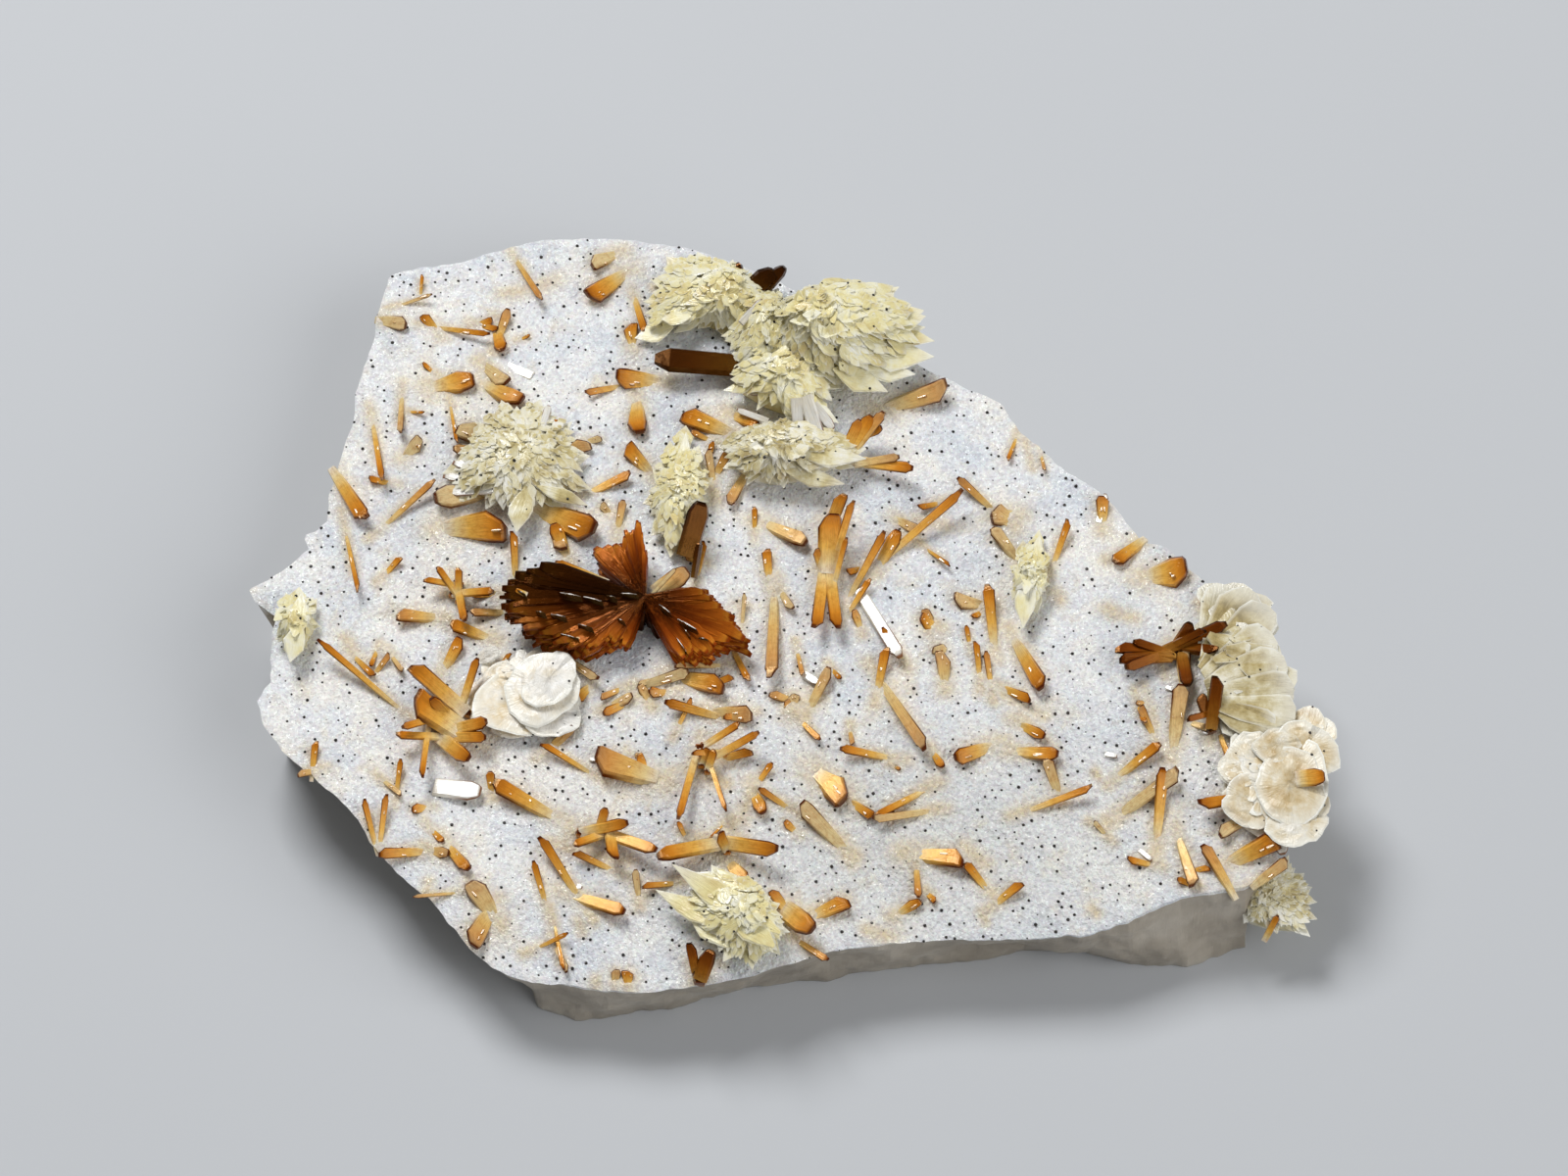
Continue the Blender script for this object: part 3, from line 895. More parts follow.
bow_tie = new_store()
hub = on_face(BOW_TIE_HUB, HUB_HEIGHT * MM)
rear_fan = new_store()
for across_count, layers, dark_end, glow_end, tips in FANS:
    fan = rear_fan if layers == 3 else bow_tie
    ends = [on_face(pixel, rise * MM) for pixel, rise in tips]
    for layer in range(layers):
        sink = (layer / (layers - 1) - 0.35) * 0.85 * MM
        for index in range(across_count):
            place = min(1.0, (index + crystal_rng.uniform(0.0, 1.0)) / across_count)
            tip = hub.lerp(between(ends, place) - UP * sink, crystal_rng.uniform(0.84, 1.03))
            root = hub - UP * sink * 0.5 + (hub - tip) * 0.04
            glow = dark_end + (glow_end - dark_end) * place + crystal_rng.uniform(-0.12, 0.12) * (0.3 + place)
            turn = 0.1 + 0.6 * place
            add_blade(fan, root, tip, crystal_rng.uniform(0.26, 0.56) * MM * (1.3 - 0.5 * place),
                      crystal_rng.uniform(0.14, 0.26) * MM, roll=crystal_rng.uniform(-turn, turn),
                      wedge=1.2, slant=crystal_rng.uniform(-1.0, 1.0), shade=min(1.0, max(0.0, glow)), foot=0.35)
    for _ in range(across_count // 2):
        below = hub.lerp(between(ends, crystal_rng.random()), crystal_rng.uniform(0.05, 0.62))
        below.z = face_height(below.x, below.y) - 0.15 * MM
        add_blade(fan, below, hub, crystal_rng.uniform(0.26, 0.50) * MM, 0.2 * MM, shade=0.2, foot=1.0)
half_way = (KEY_FROM - LOOK).normalized()
lit = new_store()


def turned_to_lamp(root_pixel, tip_pixel, rise):
    """Ends of a crystal seen between two pixels that lies square to the way from lamp to camera."""
    root, tip_rise = on_face(root_pixel, rise), rise
    for _ in range(4):
        tip = on_face(tip_pixel, tip_rise)
        tip_rise -= half_way.dot(tip - root) / half_way.z
    return root, tip


def add_glint(root_pixel, tip_pixel, width, rise, deep, **more):
    """Adds a narrow crystal turned to the lamp, that goes deep into the crystal it grew on."""
    root, tip = turned_to_lamp(root_pixel, tip_pixel, rise)
    sunk = half_way * deep / 2
    add_blade(lit, root - sunk, tip - sunk, width, deep, facing=half_way, **more)


for root_pixel, tip_pixel, width, rise in (
        ((614, 613), (594, 608), 0.12, 1.75), ((592, 608), (570, 604), 0.15, 2.1), ((650, 606), (633, 605), 0.12, 1.7),
        ((577, 629), (561, 626), 0.12, 1.75), ((556, 625), (546, 623), 0.08, 1.9), ((628, 609), (618, 607), 0.08, 1.8),
        ((672, 616), (684, 625), 0.13, 1.7), ((691, 631), (711, 642), 0.15, 1.6), ((697, 640), (703, 647), 0.10, 1.5),
        ((536, 606), (527, 601), 0.12, 2.1), ((590, 651), (571, 646), 0.10, 1.35), ((637, 634), (629, 630), 0.10, 1.5),
        ((604, 640), (588, 636), 0.07, 1.6), ((700, 664), (690, 650), 0.09, 1.3), ((722, 652), (712, 650), 0.08, 1.3)):
    add_glint(root_pixel, tip_pixel, 0.4 * width * MM, (rise + 0.2) * MM, 0.5 * MM, wedge=9.0, shade=0.1, foot=0.2)
for root_pixel, tip_pixel, width, rise in steps:
    add_glint(root_pixel, tip_pixel, width, rise + 0.015 * MM, 0.14 * MM, shade=1.0)
as_piece(bow_tie, "bow_tie_blades", burnt, "eosphorite_brown", ("eosphorite_bow_tie",))
as_piece(rear_fan, "bow_tie_rear_fan", burnt, "eosphorite_brown")
glassy = eosphorite("eosphorite, clean step face",
                    ((0.0, "C89850"), (0.5, "DCB06A"), (1.0, "C08A48")),
                    "8A4A14", {"Roughness": 0.07, "IOR": 1.64}, 300.0, "E8A048", dullest=0.05, brightest=1.0)
as_piece(lit, "step_faces", glassy, "eosphorite_amber")
bow_tie_plates = new_store()
for root_pixel, tip_pixel, width, low, high in (
        ((668, 606), (702, 582), 0.75, 1.0, 1.5), ((620, 596), (566, 574), 0.40, 1.3, 1.6),
        ((664, 608), (690, 580), 0.16, 1.2, 1.8), ((538, 607), (526, 602), 0.22, 2.0, 2.05),
        ((592, 652), (574, 646), 0.10, 1.25, 1.2)):
    add_blade(bow_tie_plates, on_face(root_pixel, low * MM), on_face(tip_pixel, high * MM), width * MM, 0.16 * MM)
as_piece(bow_tie_plates, "bow_tie_side_plates", amber, "eosphorite_amber")

# Collinsite: pale yellow to white groups of broad blades that overlap like shingles and fan out from
# a hidden root. The blades are thin and translucent, with fine lines along them, bright edges and
# spear-shaped tips; in the white discs they are round plates.
SPEAR = ((0.0, 0.12), (0.22, 0.68), (0.46, 1.0), (0.64, 0.88), (1.0, 0.03))
BLUNT = ((0.0, 0.30), (0.35, 0.75), (0.78, 1.0), (0.92, 0.86), (1.0, 0.35))
ROUND = ((0.0, 0.55), (0.22, 0.84), (0.50, 1.0), (0.75, 0.94), (0.92, 0.62), (1.0, 0.28))
SCALE_SECTION = ((-1.0, 0.0, 1.0), (-0.82, 0.9, 0.1), (0.0, 1.1, 0.0), (0.82, 0.9, 0.1), (1.0, 0.0, 1.0), (0.0, -1.0, 0.0))
ROSETTES = {
    "collinsite_crown": ("cream", SPEAR, (
        ((828, 364), 3.1, 1.0, 0.0, 130, 2.1, True, ((944, 338), (953, 364), (924, 385), (906, 402), (880, 406), (852, 408),
            (826, 404), (802, 394), (784, 372), (788, 340), (806, 318), (826, 306), (850, 308), (886, 303),
            (917, 308), (942, 332))),
        ((738, 318), 1.6, 0.25, 0.0, 110, 1.5, True, ((664, 290), (680, 266), (712, 262), (748, 270), (780, 288), (798, 318),
            (784, 350), (742, 352), (712, 340), (688, 344), (660, 330), (648, 350), (656, 312))),
        ((782, 350), 2.0, 0.5, 0.0, 70, 1.2, True, ((736, 352), (744, 388), (786, 398), (822, 384), (818, 330), (794, 302),
            (760, 308))),
        ((802, 396), 1.7, 0.6, 0.0, 70, 1.3, True, ((850, 384), (860, 406), (846, 436), (832, 458), (806, 440), (772, 428),
            (738, 408), (742, 380), (800, 364))))),
    "collinsite_lens": ("olive", SPEAR, (
        ((790, 472), 1.6, 0.6, 0.0, 120, 1.4, True, ((884, 468), (872, 486), (840, 500), (800, 508), (762, 504), (738, 488),
            (732, 464), (756, 446), (800, 436), (842, 446), (868, 456))),)),
    "collinsite_column": ("cream", SPEAR, (
        ((694, 516), 1.4, 0.35, 0.0, 80, 1.3, True, ((700, 440), (714, 460), (728, 494), (722, 536), (706, 566), (684, 574),
            (664, 552), (656, 520), (666, 484), (684, 456))),)),
    "collinsite_left_star": ("olive", SPEAR, (
        ((530, 482), 1.6, 0.3, 0.0, 130, 1.5, True, ((552, 412), (584, 436), (602, 470), (604, 504), (576, 526), (527, 543),
            (496, 524), (456, 518), (452, 488), (470, 462), (484, 436), (512, 414))),)),
    "collinsite_white_disc": ("white", ROUND, (
        ((548, 704), 0.6, 0.3, 0.0, 26, 1.0, True, ((590, 696), (592, 724), (566, 748), (524, 752), (486, 740), (476, 712),
            (492, 684), (530, 668), (566, 664))),)),
    "collinsite_left_edge": ("cream", SPEAR, (
        ((302, 648), 1.0, 0.3, 0.0, 40, 1.2, True, ((306, 604), (324, 616), (328, 644), (314, 668), (296, 676), (281, 658),
            (282, 626), (292, 610))),)),
    "collinsite_lone_lens": ("cream", SPEAR, (
        ((1048, 598), 1.0, 0.3, 0.0, 50, 1.2, True, ((1060, 545), (1070, 568), (1071, 602), (1058, 632), (1044, 641),
            (1032, 618), (1030, 582), (1044, 556))),)),
    "collinsite_lower_fan": ("cream", SPEAR, (
        ((764, 946), 1.4, 0.6, 0.0, 80, 1.5, True, ((704, 900), (726, 892), (766, 904), (796, 930), (806, 960), (796, 984),
            (768, 998), (738, 990), (716, 962), (690, 930))),)),
    "collinsite_right_fan": ("tan", BLUNT, (
        ((1250, 676), 0.9, 0.3, 0.0, 12, 2.4, False, ((1224, 640), (1236, 600), (1262, 600), (1286, 612), (1298, 634),
            (1290, 656), (1306, 668), (1311, 684), (1320, 706), (1314, 722), (1300, 744), (1262, 756),
            (1236, 730))),)),
    "collinsite_right_disc": ("stained", ROUND, (
        ((1296, 798), 0.6, 0.4, 0.0, 30, 1.5, True, ((1340, 728), (1357, 742), (1360, 776), (1354, 806), (1352, 838),
            (1340, 860), (1312, 868), (1280, 852), (1250, 826), (1242, 788), (1258, 756), (1292, 738))),)),
    "collinsite_corner": ("olive", SPEAR, (
        ((1288, 924), 1.0, 0.5, 1.9, 90, 1.3, True, ((1314, 880), (1330, 898), (1338, 912), (1343, 928), (1343, 946),
            (1336, 963), (1302, 960), (1268, 950), (1266, 916), (1290, 892))),)),
}
# Large blades that are seen one by one: root and tip pixel, width and both heights in millimetres
GROUP_PLATES = {
    "collinsite_crown": (
        ((856, 340), (917, 307), 1.10, 2.0, 1.15), ((868, 346), (944, 334), 1.20, 2.0, 1.10),
        ((870, 358), (953, 364), 1.25, 1.9, 1.05), ((862, 370), (934, 382), 1.00, 1.7, 1.0),
        ((850, 376), (906, 400), 0.95, 1.7, 1.0), ((846, 342), (884, 304), 0.95, 2.2, 1.4),
        ((826, 410), (856, 432), 0.55, 1.4, 0.9)),
    "collinsite_left_star": (
        ((536, 498), (527, 543), 0.95, 1.2, 0.8), ((548, 496), (600, 516), 0.60, 1.2, 0.7), ((530, 470), (470, 462), 0.50, 1.4, 0.9)),
    "collinsite_lower_fan": (
        ((796, 952), (686, 882), 1.05, 1.5, 1.3), ((744, 948), (669, 908), 0.80, 1.1, 0.8),
        ((756, 968), (702, 934), 0.90, 1.0, 0.7), ((790, 966), (738, 926), 1.00, 1.5, 1.4)),
    "collinsite_column": (
        ((696, 520), (700, 441), 0.75, 1.4, 1.1), ((690, 536), (676, 470), 0.60, 1.3, 0.8)),
    "collinsite_right_fan": (
        ((1238, 690), (1246, 596), 1.50, 0.9, 0.5), ((1230, 680), (1276, 602), 1.60, 0.95, 0.6),
        ((1226, 684), (1298, 622), 1.60, 1.0, 0.65), ((1228, 690), (1300, 650), 1.60, 1.0, 0.6),
        ((1230, 700), (1312, 676), 1.50, 1.0, 0.6), ((1232, 708), (1320, 706), 1.50, 0.95, 0.6),
        ((1234, 716), (1322, 728), 1.40, 0.9, 0.55), ((1240, 720), (1300, 746), 1.40, 0.8, 0.5)),
    "collinsite_lens": (
        ((812, 462), (884, 468), 0.85, 1.5, 1.0), ((800, 480), (862, 494), 0.70, 1.2, 0.7)),
    "collinsite_lone_lens": (((1046, 606), (1061, 546), 0.80, 1.2, 0.8), ((1050, 586), (1044, 641), 0.80, 1.1, 0.7)),
    "collinsite_left_edge": (((300, 650), (308, 604), 0.80, 1.2, 0.9), ((306, 636), (296, 676), 0.85, 1.2, 0.8)),
}


SCALES_PER_BLADE = 3
DISC_POINTS = 26
# Round plates of the two white discs: centre pixel, half lengths in millimetres, turn in degrees, height
ROUND_PLATES = {
    "collinsite_white_disc": (
        ((538, 716), 2.0, 1.35, 15, 0.35), ((562, 730), 1.15, 0.80, 10, 0.45), ((498, 716), 0.95, 0.70, 80, 0.40),
        ((508, 694), 0.95, 0.60, 50, 0.45), ((498, 668), 0.45, 0.32, 30, 0.45), ((526, 742), 0.95, 0.40, 0, 0.40),
        ((554, 702), 1.55, 1.25, 60, 0.75), ((560, 694), 1.25, 0.95, 55, 0.90)),
    "collinsite_right_disc": (
        ((1302, 800), 1.95, 2.1, 0, 0.40), ((1330, 766), 1.05, 1.3, 70, 0.60), ((1322, 838), 1.2, 0.95, 20, 0.55),
        ((1280, 778), 1.3, 1.2, 40, 0.55), ((1278, 818), 1.1, 1.0, 0, 0.50), ((1316, 802), 1.25, 1.6, 0, 0.72),
        ((1304, 760), 0.95, 0.7, 20, 0.70)),
}


def add_scale(store, root, tip, width, thickness, bend=0.0, profile=SPEAR, roll=0.0, facing=UP):
    """Adds one thin collinsite blade of a profile, with bevelled edges and bent a little upwards."""
    axis = (tip - root).normalized()
    across = axis.cross(facing).normalized()
    flat = across.cross(axis)
    across, flat = (across * math.cos(roll) + flat * math.sin(roll),
                    flat * math.cos(roll) - across * math.sin(roll))
    length = (tip - root).length
    rings = []
    for place, wide in profile:
        centre = root + axis * length * place + flat * bend * length * (place * place - place)
        centre += across * width * crystal_rng.uniform(-0.07, 0.07) * wide
        half = wide * width / 2 * crystal_rng.uniform(0.90, 1.08)
        deep = thickness / 2 * (0.35 + 0.65 * wide)
        ring = []
        for side, up, edge in SCALE_SECTION:
            point = centre + across * side * half + flat * up * deep
            ring.append((point, place, edge, side * half, place * length))
        rings.append(ring)
    add_rings(store, rings)


def add_rosette(store, profile, hub_pixel, top, low, drop, amount, longest, closed, tips):
    """Adds blades that lie outward over a mound, from the outline's tips up to the hub."""
    foot = on_face(hub_pixel, -drop * MM)
    ends = [on_face(pixel, -drop * MM) for pixel in tips]
    if closed:
        ends.append(ends[0])

    def dome(share):
        return (low + (top - low) * (1.0 - min(1.0, share) ** 2.0)) * MM

    mound = []
    for share, height in ((0.60, -0.25 * MM), (0.70, 0.3 * low * MM), (0.68, dome(0.68) - 0.12 * MM),
                          (0.45, dome(0.45) - 0.1 * MM), (0.22, dome(0.22) - 0.1 * MM), (0.05, dome(0.0) - 0.1 * MM)):
        mound.append([(foot.lerp(end, share) + UP * height, 0.2, 0.0, 0.0, 0.0) for end in ends[:-1]])
    add_rings(store, mound)
    laid = None
    for number in range(-len(tips), amount if profile is BLUNT else SCALES_PER_BLADE * amount):
        outline = number < 0
        scale = number >= amount
        place = (number + len(tips)) / (len(ends) - 1) if outline else number * 0.618034 % 1.0
        end = between(ends, min(1.0, place))
        reach = 1.0 if outline else 0.96 * math.sqrt(crystal_rng.random() if scale else (number + 0.5) / amount)
        inward = 1.0 - reach
        outward = (end - foot).normalized()
        over = crystal_rng.uniform(0.00, 0.10)
        tip = foot.lerp(end, reach) + UP * (dome(reach) + over * MM)
        turn = 0.12 if outline else 0.30 + 0.9 * inward
        turn = crystal_rng.uniform(-turn, turn)
        slope = 2.0 * (top - low) * MM * reach / (end - foot).length
        lift = crystal_rng.uniform(0.00, 0.16) + 0.15 * inward * crystal_rng.random()
        lift -= math.atan(slope) * (0.4 if outline else 0.9)
        shape = crystal_rng.uniform(0.40, 0.66)
        roll = crystal_rng.uniform(-0.25, 0.25)
        if profile is ROUND:
            shape, roll = 1.5 * shape, 0.4 * roll
        sideways = outward.cross(UP)
        axis = (outward * math.cos(turn) + sideways * math.sin(turn)) * math.cos(lift) + UP * math.sin(lift)
        length = longest * MM * crystal_rng.uniform(0.20, 0.42) if scale else longest * MM * crystal_rng.uniform(0.5, 1.0)
        if outline:
            length = min(longest * MM, 0.8 * (end - foot).length)
        length = min(length, 0.35 * longest * MM + reach * (end - foot).length)
        facing = (UP + outward * (0.8 * slope + crystal_rng.uniform(-0.2, 0.2))).normalized()
        root = tip - axis * length
        if scale:
            laid = laid or BVHTree.FromPolygons(store["points"], store["faces"])
            middle = (root + tip) / 2
            below = laid.ray_cast(middle + UP * 0.5 * MM, -UP, 1.5 * MM)[0]
            if below is None:
                continue
            settled = below - middle + UP * 0.008 * MM
            root, tip = root + settled, tip + settled
        add_scale(store, root, tip, length * shape, (0.035 if scale else 0.07) * MM,
                  bend=crystal_rng.uniform(0.0, 0.12), profile=profile, roll=roll, facing=facing)


def add_disc(store, centre, half_long, half_wide, turn, facing):
    """Adds one round plate with a frayed edge and fine ridges round its middle."""
    along_way = Vector((math.cos(turn), math.sin(turn), 0.0))
    side_way = facing.cross(along_way).normalized()
    along_way = side_way.cross(facing).normalized()
    seed = crystal_rng.uniform(0.0, 40.0)
    rings = []
    for reach, level in ((0.20, -0.08), (0.86, -0.08), (1.0, -0.01), (0.95, 0.02), (0.86, 0.03), (0.76, 0.04),
                         (0.66, 0.05), (0.54, 0.06), (0.42, 0.07), (0.28, 0.08), (0.12, 0.08)):
        ring = []
        for index in range(DISC_POINTS):
            angle = 2.0 * math.pi * index / DISC_POINTS
            frayed = reach * (1.0 + 0.16 * noise.noise(Vector((seed + 1.6 * math.cos(angle), 1.6 * math.sin(angle), 0.0)))
                              + 0.07 * noise.noise(Vector((seed + 6.0 * math.cos(angle), 6.0 * math.sin(angle), 0.0))))
            rough = 0.08 * noise.noise(Vector((3.0 * frayed * math.cos(angle), 3.0 * frayed * math.sin(angle), seed)))
            rough += 0.03 * noise.noise(Vector((9.0 * frayed * math.cos(angle), 9.0 * frayed * math.sin(angle), seed)))
            point = (centre + along_way * half_long * math.cos(angle) * frayed
                     + side_way * half_wide * math.sin(angle) * frayed + facing * (level + rough) * MM)
            ring.append((point, reach, 1.0 if reach > 0.97 else 0.0, angle * 1.2 * MM, reach * half_long))
        rings.append(ring)
    add_rings(store, rings)


def collinsite(name, stops, values):
    """Pale translucent collinsite with fine lines along each blade."""
    material = mineral(name, values)
    along = add(material, "ShaderNodeAttribute", {"attribute_name": "along"}, {}).outputs["Fac"]
    edge = add(material, "ShaderNodeAttribute", {"attribute_name": "edge"}, {}).outputs["Fac"]
    shade = add(material, "ShaderNodeAttribute", {"attribute_name": "shade"}, {}).outputs["Fac"]
    grain = add(material, "ShaderNodeAttribute", {"attribute_name": "grain"}, {}).outputs["Vector"]
    place = add(material, "ShaderNodeTexCoord", {}, {}).outputs["Object"]
    cloud = add(material, "ShaderNodeTexNoise", {}, {"Vector": place, "Scale": 1100.0, "Detail": 5.0,
                                                           "Roughness": 0.65})
    mixed = add(material, "ShaderNodeMath", {"operation": "MULTIPLY_ADD"}, {0: shade, 1: 0.20, 2: cloud.outputs["Fac"]})
    spread = add(material, "ShaderNodeMapRange", {}, {"Value": mixed.outputs["Value"], "From Min": 0.40,
                                                      "From Max": 0.85})
    body = add(material, "ShaderNodeValToRGB", {"stops": stops}, {"Fac": spread.outputs["Result"]})
    tip = add(material, "ShaderNodeMapRange", {"interpolation_type": "SMOOTHSTEP"},
              {"Value": along, "From Min": 0.62, "From Max": 1.0, "To Max": 0.65})
    bright = add(material, "ShaderNodeMath", {"operation": "MULTIPLY_ADD", "use_clamp": True},
                 {0: edge, 1: 0.55, 2: tip.outputs["Result"]})
    final = add(material, "ShaderNodeMix", {"data_type": "RGBA"},
                {"Factor": bright.outputs["Value"], "A": body.outputs["Color"], "B": linear("FBFAF0")})
    lines = add(material, "ShaderNodeMapping", {}, {"Vector": grain, "Scale": (16.0, 1.6, 1.0)})
    striae = add(material, "ShaderNodeTexNoise", {}, {"Vector": lines.outputs["Vector"], "Scale": 1.0, "Detail": 3.0})
    ridges = add(material, "ShaderNodeBump", {}, {"Strength": 0.8, "Distance": 0.00005,
                                                  "Height": striae.outputs["Fac"]})
    to_shader(material, Base_Color=final.outputs["Result"], Normal=ridges.outputs["Normal"])
    return material


cream = collinsite("collinsite, pale yellow", ((0.0, "E2CE8C"), (0.35, "F5E9AA"), (0.62, "FCF6CE"), (1.0, "FFFEF2")),
                   {"Roughness": 0.20, "IOR": 1.63, "Transmission Weight": 0.10})
white = collinsite("collinsite, white", ((0.0, "EBD3A4"), (0.3, "F6EBD4"), (0.6, "FCF7EC"), (1.0, "FFFEFA")),
                   {"Roughness": 0.26, "IOR": 1.63, "Transmission Weight": 0.06})
olive = collinsite("collinsite, olive tan", ((0.0, "B4A068"), (0.3, "DCCD94"), (0.55, "F3EBC6"), (0.85, "FFFDF2")),
                   {"Roughness": 0.20, "IOR": 1.63, "Transmission Weight": 0.10})
tan = collinsite("collinsite, tan", ((0.0, "94804A"), (0.3, "C0AC74"), (0.55, "DCCFA2"), (0.85, "FBF6E2")),
                 {"Roughness": 0.20, "IOR": 1.63, "Transmission Weight": 0.10})
stained_white = collinsite("collinsite, stained white",
                           ((0.0, "CBAE78"), (0.3, "E4D2AC"), (0.55, "F3EAD4"), (0.9, "FFFDF6")),
                           {"Roughness": 0.26, "IOR": 1.63, "Transmission Weight": 0.06})
collinsites = {"cream": (cream, "collinsite_cream"), "olive": (olive, "collinsite_cream"),
               "tan": (tan, "collinsite_cream"), "white": (white, "collinsite_white"),
               "stained": (stained_white, "collinsite_white")}
for group, (tone, profile, rosettes) in ROSETTES.items():
    store = new_store()
    for rosette in rosettes:
        add_rosette(store, profile, *rosette)
    for root_pixel, tip_pixel, width, low, high in GROUP_PLATES.get(group, ()):
        add_scale(store, on_face(root_pixel, low * MM), on_face(tip_pixel, high * MM), width * MM, 0.09 * MM,
                  bend=0.08, profile=profile, roll=crystal_rng.uniform(-0.2, 0.2), facing=UP - LOOK)
    for pixel, half_long, half_wide, turn, height in ROUND_PLATES.get(group, ()):
        lean = Vector((crystal_rng.uniform(-0.2, 0.2), crystal_rng.uniform(-0.3, 0.0), 1.0)).normalized()
        add_disc(store, on_face(pixel, height * MM), half_long * MM, half_wide * MM, math.radians(turn), lean)
    shown = as_piece(store, group + "_blades", *collinsites[tone], (group,))
    scattered(shown, group + "_grains", 20 + len(group), 0.7e6)

# Dark crystals caught in the collinsite: the outlined tablet and the rim block of the crown, the fans at
# the tip of the lens, and the two-tone leaf at the foot of the column.
caught = new_store()
for root_pixel, tip_pixel, width, low, high in (
        ((766, 374), (668, 366), 1.02, 0.5, 1.0), ((764, 298), (790, 276), 0.85, 0.6, 1.3),
        ((780, 296), (800, 272), 0.50, 0.6, 1.4), ((762, 294), (753, 268), 0.26, 0.6, 1.0),
        ((700, 568), (716, 512), 0.85, 0.6, 1.7), ((708, 590), (714, 552), 0.22, 0.3, 0.9)):
    add_blade(caught, on_face(root_pixel, low * MM), on_face(tip_pixel, high * MM), width * MM, 0.40 * MM,
              slant=crystal_rng.uniform(-0.2, 0.2), roll=crystal_rng.uniform(-0.3, 0.3), shade=crystal_rng.uniform(0.0, 0.15))
as_piece(caught, "dark_tablets", brown, "eosphorite_brown")
tan_fans = new_store()
for root_pixel, tip_pixel, width, low, high in (
        ((860, 468), (890, 424), 0.55, 0.5, 1.2), ((864, 468), (902, 420), 0.40, 0.5, 1.3),
        ((858, 470), (878, 428), 0.45, 0.5, 1.1), ((868, 470), (932, 478), 0.45, 0.4, 0.8),
        ((872, 474), (918, 466), 0.35, 0.4, 0.9), ((876, 446), (900, 436), 0.40, 0.5, 1.0),
        ((1322, 795), (1352, 792), 0.66, 0.9, 1.0), ((1290, 960), (1304, 934), 0.26, -1.6, -0.8)):
    add_blade(tan_fans, on_face(root_pixel, low * MM), on_face(tip_pixel, high * MM), width * MM, 0.18 * MM)
as_piece(tan_fans, "lens_eosphorites", amber, "eosphorite_amber")

# Glinting laths: clear white crystals that lie turned so that a flat face throws the light back.
LATHS = (
    ((876, 602), (919, 671), 0.50), ((543, 384), (481, 360), 0.46), ((443, 803), (491, 808), 0.80),
    ((1303, 838), (1309, 872), 0.50), ((820, 688), (835, 697), 0.34), ((618, 852), (628, 866), 0.24),
    ((1121, 534), (1128, 504), 0.30), ((1224, 746), (1236, 748), 0.24), ((586, 904), (594, 906), 0.24),
    ((1163, 868), (1175, 878), 0.20), ((1190, 702), (1198, 704), 0.20), ((602, 775), (608, 776), 0.18),
    ((1128, 770), (1140, 772), 0.20),
)
CLEAR_BLADES = (
    ((822, 404), (838, 457), 0.60, 1.5, 0.9), ((812, 406), (816, 448), 0.45, 1.5, 0.8),
    ((830, 412), (850, 438), 0.40, 1.4, 0.9), ((524, 486), (462, 472), 0.36, 1.2, 0.8),
    ((522, 492), (452, 486), 0.32, 1.1, 0.6), ((522, 498), (458, 502), 0.40, 1.0, 0.5),
    ((792, 392), (760, 384), 0.30, 1.3, 0.8),
    ((800, 400), (764, 400), 0.34, 1.1, 0.6), ((784, 430), (752, 418), 0.26, 0.5, 0.4),
    ((756, 330), (778, 306), 0.30, 1.9, 1.8), ((552, 440), (560, 414), 0.30, 1.2, 1.0),
)
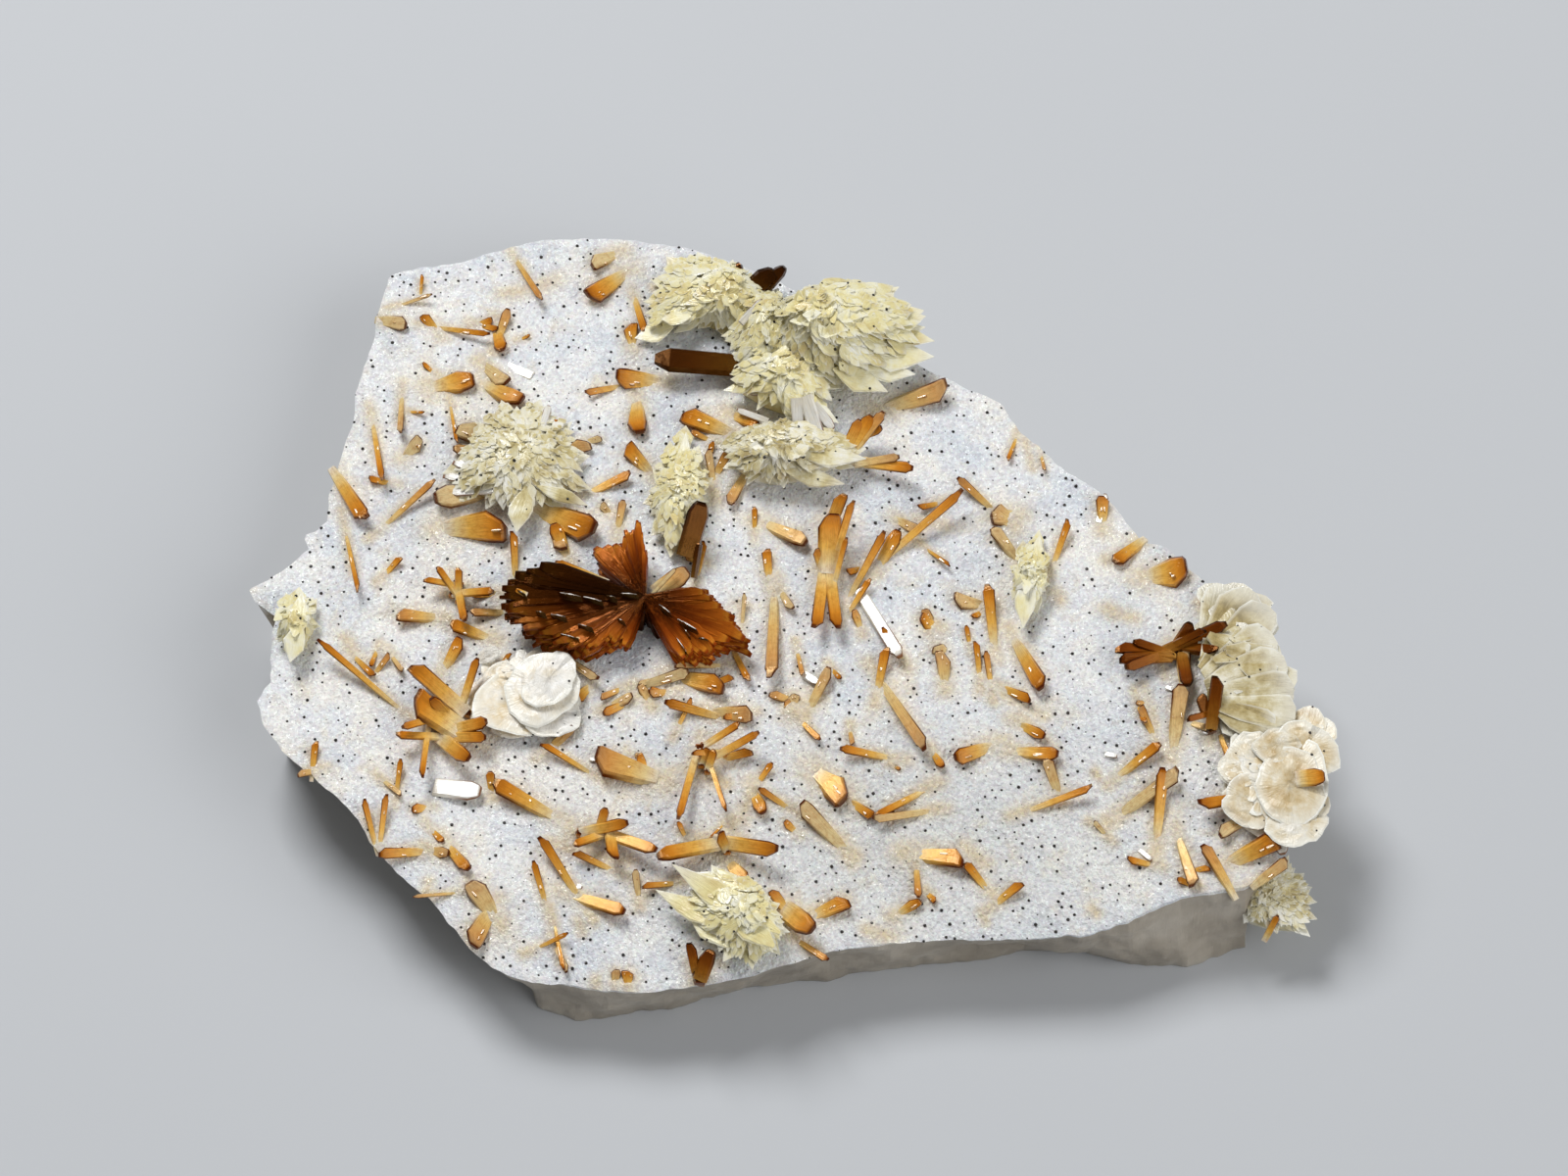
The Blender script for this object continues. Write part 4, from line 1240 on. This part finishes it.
clear_white = eosphorite("clear white crystal",
                         ((0.0, "F2ECDC"), (0.3, "F8F5EC"), (0.7, "FDFCF8"), (1.0, "FAF6EC")),
                         "8A5A38", {"Roughness": 0.09, "IOR": 1.63, "Transmission Weight": 0.2}, 100.0, "F4EAD2",
                         dullest=0.95, brightest=1.05, inner="F3E6CC")
laths = new_store()
for root_pixel, tip_pixel, width in LATHS:
    add_blade(laths, *turned_to_lamp(root_pixel, tip_pixel, 0.02 * MM), width * MM, 0.16 * MM, facing=half_way)
for root_pixel, tip_pixel, width, low, high in CLEAR_BLADES:
    add_blade(laths, on_face(root_pixel, low * MM), on_face(tip_pixel, high * MM), width * MM, 0.12 * MM,
              roll=crystal_rng.uniform(-0.4, 0.4), wedge=0.8)
as_piece(laths, "glinting_laths", clear_white, "collinsite_white")

# The table and the light: a plain pale table, a large soft lamp at the upper left behind the specimen
# and a weak one at the right.
floor_mesh = bpy.data.meshes.new("table_top")
floor_mesh.from_pydata([(-0.6, -0.6, -0.00002), (0.6, -0.6, -0.00002), (0.6, 0.6, -0.00002),
                        (-0.6, 0.6, -0.00002)], [], [(0, 1, 2, 3)])
floor = bpy.data.objects.new("table_top", floor_mesh)
bpy.context.scene.collection.objects.link(floor)
floor_mesh.materials.append(mineral("pale table", {"Base Color": linear("C2C5C9"), "Roughness": 0.8}))


def lamp(name, direction, distance, size, power):
    """A square soft lamp that shines at the specimen from a direction."""
    data = bpy.data.lights.new(name, "AREA")
    data.size = size
    data.energy = power
    thing = bpy.data.objects.new(name, data)
    thing.location = direction.normalized() * distance
    thing.rotation_mode = "QUATERNION"
    thing.rotation_quaternion = direction.normalized().to_track_quat("Z", "Y")
    bpy.context.scene.collection.objects.link(thing)


lamp("key_lamp", KEY_FROM, 0.30, 0.12, 0.68)
lamp("fill_lamp", Vector((0.9, -0.5, 0.8)), 0.35, 0.30, 0.60)
world = bpy.data.worlds.new("studio")
world.use_nodes = True
world.node_tree.nodes["Background"].inputs["Color"].default_value = linear("F1F2F2")
world.node_tree.nodes["Background"].inputs["Strength"].default_value = 0.20
bpy.context.scene.world = world
bpy.context.scene.view_settings.view_transform = "Standard"
